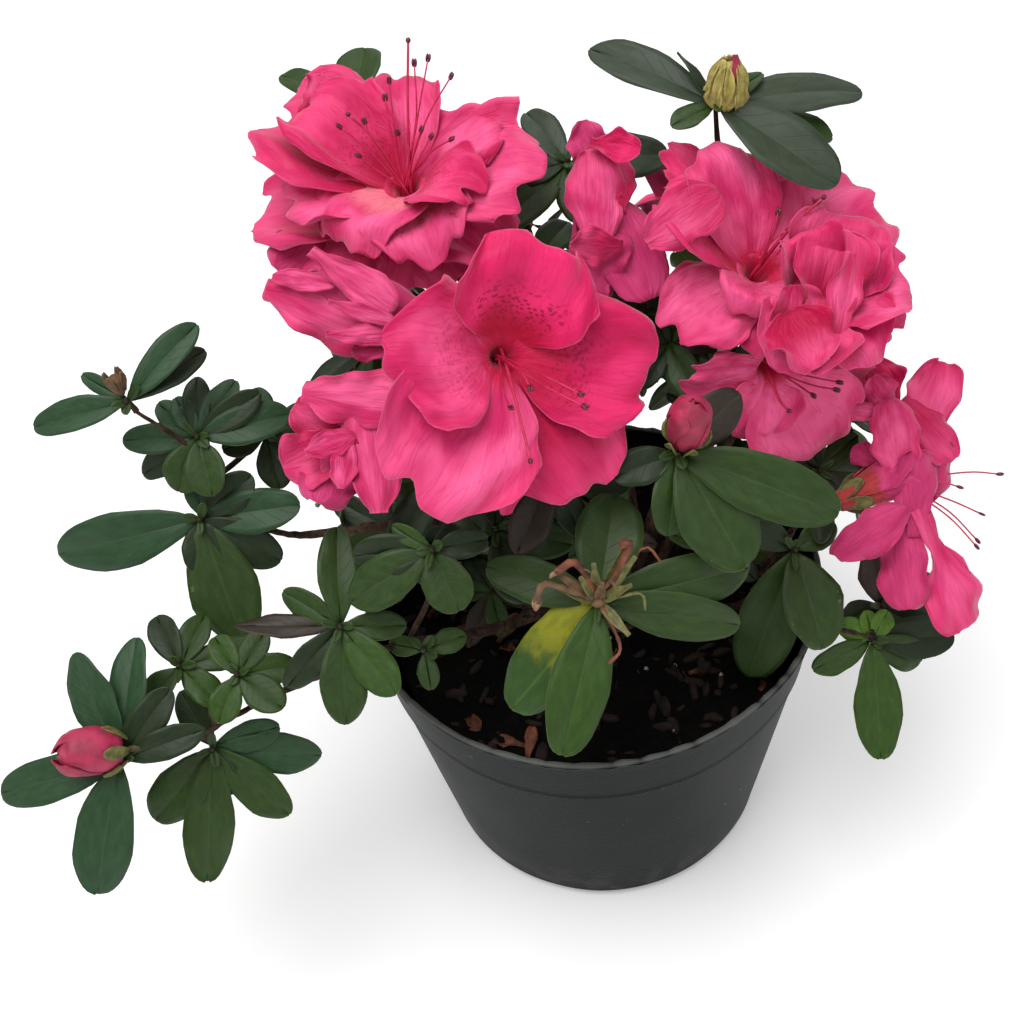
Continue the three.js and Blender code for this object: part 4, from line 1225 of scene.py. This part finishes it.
# a pink bud from its foot to its tip, as shares of its radius and of its length
BUD_PROFILE = np.array([(0.55, 0), (0.95, 0.25), (1, 0.55), (0.85, 0.82), (0.12, 1)])
SCALE_RINGS = [(5, 12.5), (5, 11.5), (4, 8), (4, 5.5)]  # how many scales, and their length
WITHERED_FINGERS = [  # angle, length, lean towards the viewer, sideways bend and look
    (146, 17, 30, 4, "bud_brown"), (128, 12, 40, -2, "sepal"), (100, 15, 40, 5, "withered"),
    (86, 10, 55, -2, "bud_brown"), (54, 19, 30, 3, "withered"), (30, 13, 40, -3, "sepal"),
    (312, 13, 20, -4, "withered"), (68, 19, 25, -5, "withered"), (160, 13, 20, -3, "withered"),
]


def pink_bud(name, shares, axis, length, radius, greens, wood, rng):
    """A closed bud of furled petals in its calyx, on a stalk."""
    base, axis = spot(name, shares), unit(axis)
    cluster = Cluster(name + "_petals", "bud", "bud_petal")
    furled(cluster, base, axis, BUD_PROFILE * (radius, length), 5, rng, ruffle=0.35, spin=50,
           half=72, spread=0.05)
    cluster.lump(base + axis * length * 0.45, axis, length * 0.85, radius * 0.62, 10)
    cluster.build(name)
    foot = base - axis * 1.5
    calyx(greens, foot, axis, rng, 1.15, 0.45 * radius)
    wood.stalk(foot, axis)


def scaly_bud(rng):
    """The green bud at the top: four rings of scales, with a pink petal just showing."""
    scales = Cluster("bud_top_scales", "bud", "bud_scale", "bud_petal")
    base, axis = spot("bud_top", (0.48, 0.5, -0.04)), unit((0.08, 0, 1))
    scales.lump(base + axis * 6, axis, 11, 3.5, 12, 9)
    for ring, (count, reach) in enumerate(SCALE_RINGS):
        for k in range(count):
            way = turned(360 * (k + 0.5 * ring) / count) @ plane(axis)
            blade(scales, base + way * (2.6 + 0.4 * ring), axis, -way, reach, 6.2, (0.55, 0.7, 0.6),
                  SMALL_COLUMNS, 9, rise=-0.22, droop=-0.3, cup=-0.45, thickness=0.4, rng=rng)
    showing = base + axis * 4.4 + VIEW[0] * 1.2 + VIEW[2] * 5.0
    blade(scales, showing, axis - 0.4 * VIEW[2], VIEW[2], 6.6, 2.8, LEAF_OUTLINE,
          SMALL_COLUMNS, 8, cup=-0.5, thickness=0.4, rng=rng, look="bud_petal")
    scales.build("bud_top")


def make_buds(greens, wood):
    rng = np.random.default_rng([SEED, 6])
    for bud in PINK_BUDS:
        pink_bud(*bud, greens, wood, rng)
    scaly_bud(rng)


def spent_bloom(dry, rng):
    """What is left of a bloom in the front rosette: curled fingers round a dry knob."""
    hub = spot("rosette_front", (0.44, 0.60, 0.60)) + 2.5 * VIEW[2]
    for angle, length, lean, bend, look in WITHERED_FINGERS:
        way, aside = view_axis(angle, lean), view_axis(angle + 90, 0)
        line = smooth_line([hub, hub + way * length * 0.55 + aside * bend * 0.4,
                            hub + way * length + aside * bend,
                            hub + way * length * 0.96 + aside * bend * 1.9 - VIEW[1] * 1.5], 16)
        dry.tube(line, np.linspace(0.6, 1.1 if bend > 0 else 0.3, 16), 7, 0.25, look)
        blade(dry, hub + way * 0.8, way, VIEW[2], length * 0.85, 3.2, (0.4, 0.5, 0.8),
              SEPAL_COLUMNS, 9, cup=0.5, twist=rng.uniform(-40, 40), rng=rng,
              look="bud_brown" if look == "bud_brown" else "sepal")
        if bend > 3:  # the dried foot of the petals, with pale down on it
            dry.lump(line[-1], line[-1] - line[-3], 4.2, 1.0, 8, 7, 0.6, "down")
    dry.lump(hub, VIEW[2], 5, 2.0, 9, 7, 0.3, "bud_brown")


def dry_bud(dry, rng):
    """A brown bud with four scales, at the tip of the left shoot."""
    hub = spot("rosette_left_tip", (0.57, 0.39, 0.38)) + np.array([-1.5, 2.5, 2.5]) @ VIEW
    axis = view_axis(105, 40)
    dry.lump(hub + axis * 2, axis, 7, 2.0, 9, 7, 0.2, "bud_brown")
    for k in range(4):
        way = turned(90 * k) @ plane(axis)
        blade(dry, hub + way * 1.3, axis, -way, 6, 3, LEAF_OUTLINE, SEPAL_COLUMNS, 7,
              rise=-0.2, cup=-0.4, rng=rng, look="bud_brown")


def make_withered():
    """The withered parts of the plant, in one mesh."""
    rng = np.random.default_rng([SEED, 9])
    dry = Cluster("spent_bloom", "bud", "withered", "sepal", "bud_brown", "down")
    spent_bloom(dry, rng)
    dry_bud(dry, rng)
    dry.build()


# ---- Soil ----
SOIL_RINGS, SOIL_SIDES = 46, 120  # the grid of its surface
LITTER = [("bark_chip", 250), ("withered", 40), ("grit", 40)]  # what lies on it, and how many


def soil_surface(radius, level):
    """A mound with three sizes of unevenness, as rings of points from the middle outwards."""
    out, around = np.meshgrid(np.linspace(0, 1, SOIL_RINGS) * radius,
                              np.linspace(0, FULL_TURN, SOIL_SIDES + 1), indexing="ij")
    flat = np.stack([out * np.cos(around), out * np.sin(around), np.zeros_like(out)], -1)
    height = 2.0 * (1 - (out / radius) ** 2) + 0.8 * rough(flat, 17, 21) + 0.6 * rough(flat, 6, 22)
    height = height + 0.35 * rough(flat, 2.6, 23)
    return flat + np.stack([0 * out, 0 * out, level + height], -1)


def soil_bed(surface, bottom):
    """The soil as one closed body, from that surface down to a flat bottom."""
    wall = surface[-1] * [0.8, 0.8, 0]
    wall[:, 2] = bottom
    grid = np.concatenate([surface, wall[None]])[:, :-1]
    index = np.arange(SOIL_RINGS * SOIL_SIDES).reshape(SOIL_RINGS, SOIL_SIDES) + 1
    wrapped = closed_round(index)
    points = np.concatenate([grid[0, :1], grid[1:].reshape(-1, 3)]) * MM
    faces = [[0, int(a), int(b)] for a, b in zip(wrapped[0], wrapped[0, 1:])]
    faces += grid_quads(wrapped).tolist() + [index[-1, ::-1].tolist()]
    mesh = bpy.data.meshes.new("soil_bed")
    mesh.from_pydata(points.tolist(), [], faces)
    mesh.materials.append(MATERIALS["soil"])
    piece(mesh, "soil_bed", "soil", "soil")


def strew(litter, look, surface, radius, rng):
    """One chip, dried petal or grain, somewhere on the soil."""
    distance = radius * 0.97 * math.sqrt(rng.uniform())
    angle = rng.uniform(0, FULL_TURN)
    ring = int(distance / radius * (SOIL_RINGS - 1))
    side = int(angle / FULL_TURN * SOIL_SIDES)
    at = turned(math.degrees(angle)) * distance + [0, 0, surface[ring, side, 2] + 0.3]
    axis = unit([rng.normal(), rng.normal(), 0.35 * rng.normal()])
    if look == "withered":
        blade(litter, at, axis, (0.2, 0, 1), rng.uniform(5, 11), rng.uniform(3, 5), PETAL_OUTLINE,
              SMALL_COLUMNS, 8, rise=0.3, droop=0.3, cup=0.5, twist=rng.uniform(-60, 60),
              ruffle=0.8, thickness=0.4, rng=rng, look=look)
    elif look == "bark_chip":
        length = rng.uniform(2.5, 8)
        litter.lump(at, axis, length, length * rng.uniform(0.14, 0.28), 5, 5, 0.55, look)
    else:
        length = rng.uniform(0.8, 1.8)
        litter.lump(at, axis, length, length * 0.4, 5, 5, 0.55, look)


def make_soil():
    """Mounded potting mix that fills the pot, with bark chips, dried petals and grit on it."""
    rng = np.random.default_rng([SEED, 7])
    low, high = box("soil")
    radius = (high[0] - low[0]) / 2 - 0.3
    surface = soil_surface(radius, high[2] - 2.2)
    soil_bed(surface, low[2] + 1)
    litter = Cluster("soil_litter", "soil", *(look for look, _ in LITTER))
    for look, count in LITTER:
        for _ in range(count):
            strew(litter, look, surface, radius, rng)
    litter.build()


# ---- Pot ----
DRAINS, DRAIN_CIRCLE, DRAIN_RADIUS = 6, 34.0, 4.0  # the holes in the pot's floor
SPOKE_RADII = (42, 34, 26)  # where the floor is divided between two holes
POT_SIDES = 28 * DRAINS
FOOT_SHARE = 0.757  # the foot's radius as a share of the rim's
BAND = 21.0  # height of the plain band under the rim
WALL, FLOOR, ROUNDING = 1.3, 2.2, 6.0  # thickness of wall and floor, and radius of the edge below


def belt(first, second):
    """The faces between two closed loops of vertices."""
    loop = list(zip(first, second))
    return [[a, b, d, c] for (a, c), (b, d) in zip(loop, loop[1:] + loop[:1])]


def drained_floor(points, faces, ring):
    """Closes a ring of the pot's vertices with a flat floor. Gives the rims of its holes."""
    height = points[ring[0]][2]
    span = POT_SIDES // DRAINS

    def add(radius, step):
        points.append((turned(360 * step / POT_SIDES) * radius + [0, 0, height]).tolist())
        return len(points) - 1

    hub = [add(DRAIN_CIRCLE / 2, step) for step in range(POT_SIDES)]
    spokes = [[add(radius, span * k + span // 2) for radius in SPOKE_RADII] for k in range(DRAINS)]
    faces.append(hub)
    rims = []
    for k in range(DRAINS):
        arc = [(span * k + span // 2 + step) % POT_SIDES for step in range(span + 1)]
        border = [ring[step] for step in arc] + spokes[(k + 1) % DRAINS]
        border += [hub[step] for step in reversed(arc)] + spokes[k][::-1]
        middle = turned(360 * (k + 1) / DRAINS) * DRAIN_CIRCLE + [0, 0, height]
        rim = []
        for corner in border:
            rim.append(len(points))
            points.append((middle + unit(points[corner] - middle) * DRAIN_RADIUS).tolist())
        faces.extend(belt(border, rim))
        rims.append(rim)
    return rims


def pot_profile(rim, height):
    """The pot's section as (radius, height): up the outside, over the rim and down the inside."""
    foot = FOOT_SHARE * rim
    slope = (rim - foot - 0.4) / height
    step = height - BAND

    def side(z):
        return foot + slope * z

    outside = [
        (side(ROUNDING) - ROUNDING + ROUNDING * math.sin(a), ROUNDING - ROUNDING * math.cos(a))
        for a in np.linspace(0, math.pi / 2, 9)
    ]
    outside += [(side(z), z) for z in np.linspace(12, step - 0.9, 12)]
    outside += [(side(step) + 0.55, step + dz) for dz in (-0.2, 0.4)]
    outside += [(side(z) + 0.35, z) for z in np.linspace(step + 1.6, height - 2.5, 6)]
    lip = [(side(height) + 0.4, height - 1.2), (side(height) + 0.2, height - 0.3),
           (side(height) - 0.35, height), (side(height) - WALL, height - 0.4)]
    inside = [(side(z) - WALL, z) for z in np.linspace(height - 2, ROUNDING, 12)]
    return np.array(outside + lip + inside + [(foot - ROUNDING, FLOOR)])


def pot_shell(rim, height):
    """The profile turned into a grid, with a ragged rim and slightly uneven walls."""
    profile = pot_profile(rim, height)
    turn = np.arange(POT_SIDES) * FULL_TURN / POT_SIDES
    out, z = profile[:, 0][:, None], profile[:, 1][:, None] * np.ones(POT_SIDES)
    flat = np.stack([40 * np.cos(turn), 40 * np.sin(turn), 0 * turn], -1)
    near_rim = ease(height - 5, height, z)
    z = z + near_rim * (0.45 * rough(flat, 5, 31) + 0.35 * rough(flat, 2.2, 32) - 0.7)
    warp = 1 + ease(20, height, z) * 0.006 * np.sin(3 * turn + 1) + 0.002 * rough(flat, 14, 33)
    return np.stack([out * warp * np.cos(turn), out * warp * np.sin(turn), z], -1)


def make_pot():
    """The thin nursery pot: a ragged rolled rim, the plain band's step, a rounded foot, drains."""
    low, high = box("pot")
    grid = pot_shell((high[0] - low[0]) / 2, high[2])
    index = np.arange(len(grid) * POT_SIDES).reshape(len(grid), POT_SIDES)
    points, faces = grid.reshape(-1, 3).tolist(), grid_quads(closed_round(index)).tolist()
    below = drained_floor(points, faces, index[0].tolist())
    above = drained_floor(points, faces, index[-1].tolist())
    for low_rim, high_rim in zip(below, above):
        faces.extend(belt(low_rim, high_rim))
    mesh = bpy.data.meshes.new("nursery_pot")
    mesh.from_pydata((np.array(points) * MM).tolist(), [], faces)
    shape = bmesh.new()
    shape.from_mesh(mesh)
    bmesh.ops.recalc_face_normals(shape, faces=shape.faces)
    shape.to_mesh(mesh)
    shape.free()
    mesh.materials.append(MATERIALS["pot"])
    piece(mesh, "nursery_pot", "pot", "pot")


# ---- Studio ----
FLOOR_REACH = 4.0  # metres, as all lengths in the studio
LAMPS = [  # name, place, power and size
    ("key", (-0.3, -0.2, 1.35), 12.5, 0.9),
    ("fill", (0.9, -0.8, 0.9), 1.6, 0.9),
    ("back", (0.2, 1.0, 1.0), 3.0, 0.9),
]
LAMP_TARGET = (0, 0, 0.13)
SKY_STRENGTH = 0.5
SENSOR_WIDTH = 36.0  # millimetres


def make_stage():
    """A wide pale floor, which isn't part of the plant."""
    mesh = bpy.data.meshes.new("floor")
    corners = np.array([(-1, -1, 0), (1, -1, 0), (1, 1, 0), (-1, 1, 0)]) * FLOOR_REACH
    mesh.from_pydata(corners.tolist(), [], [(0, 1, 2, 3)])
    paper = plain_material("floor_paper", (0.93, 0.93, 0.93, 1), (0.91, 0.91, 0.91, 1), 0.9, 8.0,
                           Emission_Color=WHITE, Emission_Strength=0.2)
    mesh.materials.append(paper)
    floor = bpy.data.objects.new("floor", mesh)
    bpy.context.scene.collection.objects.link(floor)


def make_light():
    """An even white sky, and three soft lamps."""
    world = bpy.data.worlds.new("studio")
    world.use_nodes = True
    world.node_tree.nodes["Background"].inputs["Color"].default_value = WHITE
    world.node_tree.nodes["Background"].inputs["Strength"].default_value = SKY_STRENGTH
    bpy.context.scene.world = world
    for name, place, power, size in LAMPS:
        light = bpy.data.lights.new(name, "AREA")
        light.energy = power
        light.size = size
        lamp = bpy.data.objects.new(name, light)
        lamp.location = place
        aim = Vector(LAMP_TARGET) - Vector(place)
        lamp.rotation_euler = aim.to_track_quat("-Z", "Y").to_euler()
        bpy.context.scene.collection.objects.link(lamp)


def make_camera():
    """The camera in front, looking down on its target and turned a little about its own axis."""
    elevation, roll = math.radians(CAMERA["elevation"]), math.radians(CAMERA["roll"])
    forward = np.array([0, math.cos(elevation), -math.sin(elevation)])
    level = np.array([1.0, 0, 0])
    upright = np.cross(level, forward)
    right = level * math.cos(roll) + upright * math.sin(roll)
    up = np.cross(right, forward)
    camera = bpy.data.objects.new("camera", bpy.data.cameras.new("camera"))
    camera.data.lens = CAMERA["lens"]
    camera.data.sensor_width = SENSOR_WIDTH
    camera.data.clip_start = 0.01
    place = (np.array(CAMERA["target"]) - forward * CAMERA["distance"]) * MM
    turn = Matrix(np.stack([right, up, -forward], 1).tolist())
    camera.matrix_world = Matrix.Translation(place) @ turn.to_4x4()
    bpy.context.scene.collection.objects.link(camera)
    bpy.context.scene.camera = camera
    bpy.context.scene.view_settings.view_transform = "Standard"


make_camera()
make_light()
make_stage()
wood = Wood()
greens = Cluster("sepals", "bud", "sepal")
make_blooms(greens, wood)
make_buds(greens, wood)
make_withered()
make_rosettes(wood)
make_inner_whorls(wood)
for mass, whorls, away in MASSES:
    make_mass(mass, whorls, away, wood)
wood.build()
greens.build()
make_soil()
make_pot()
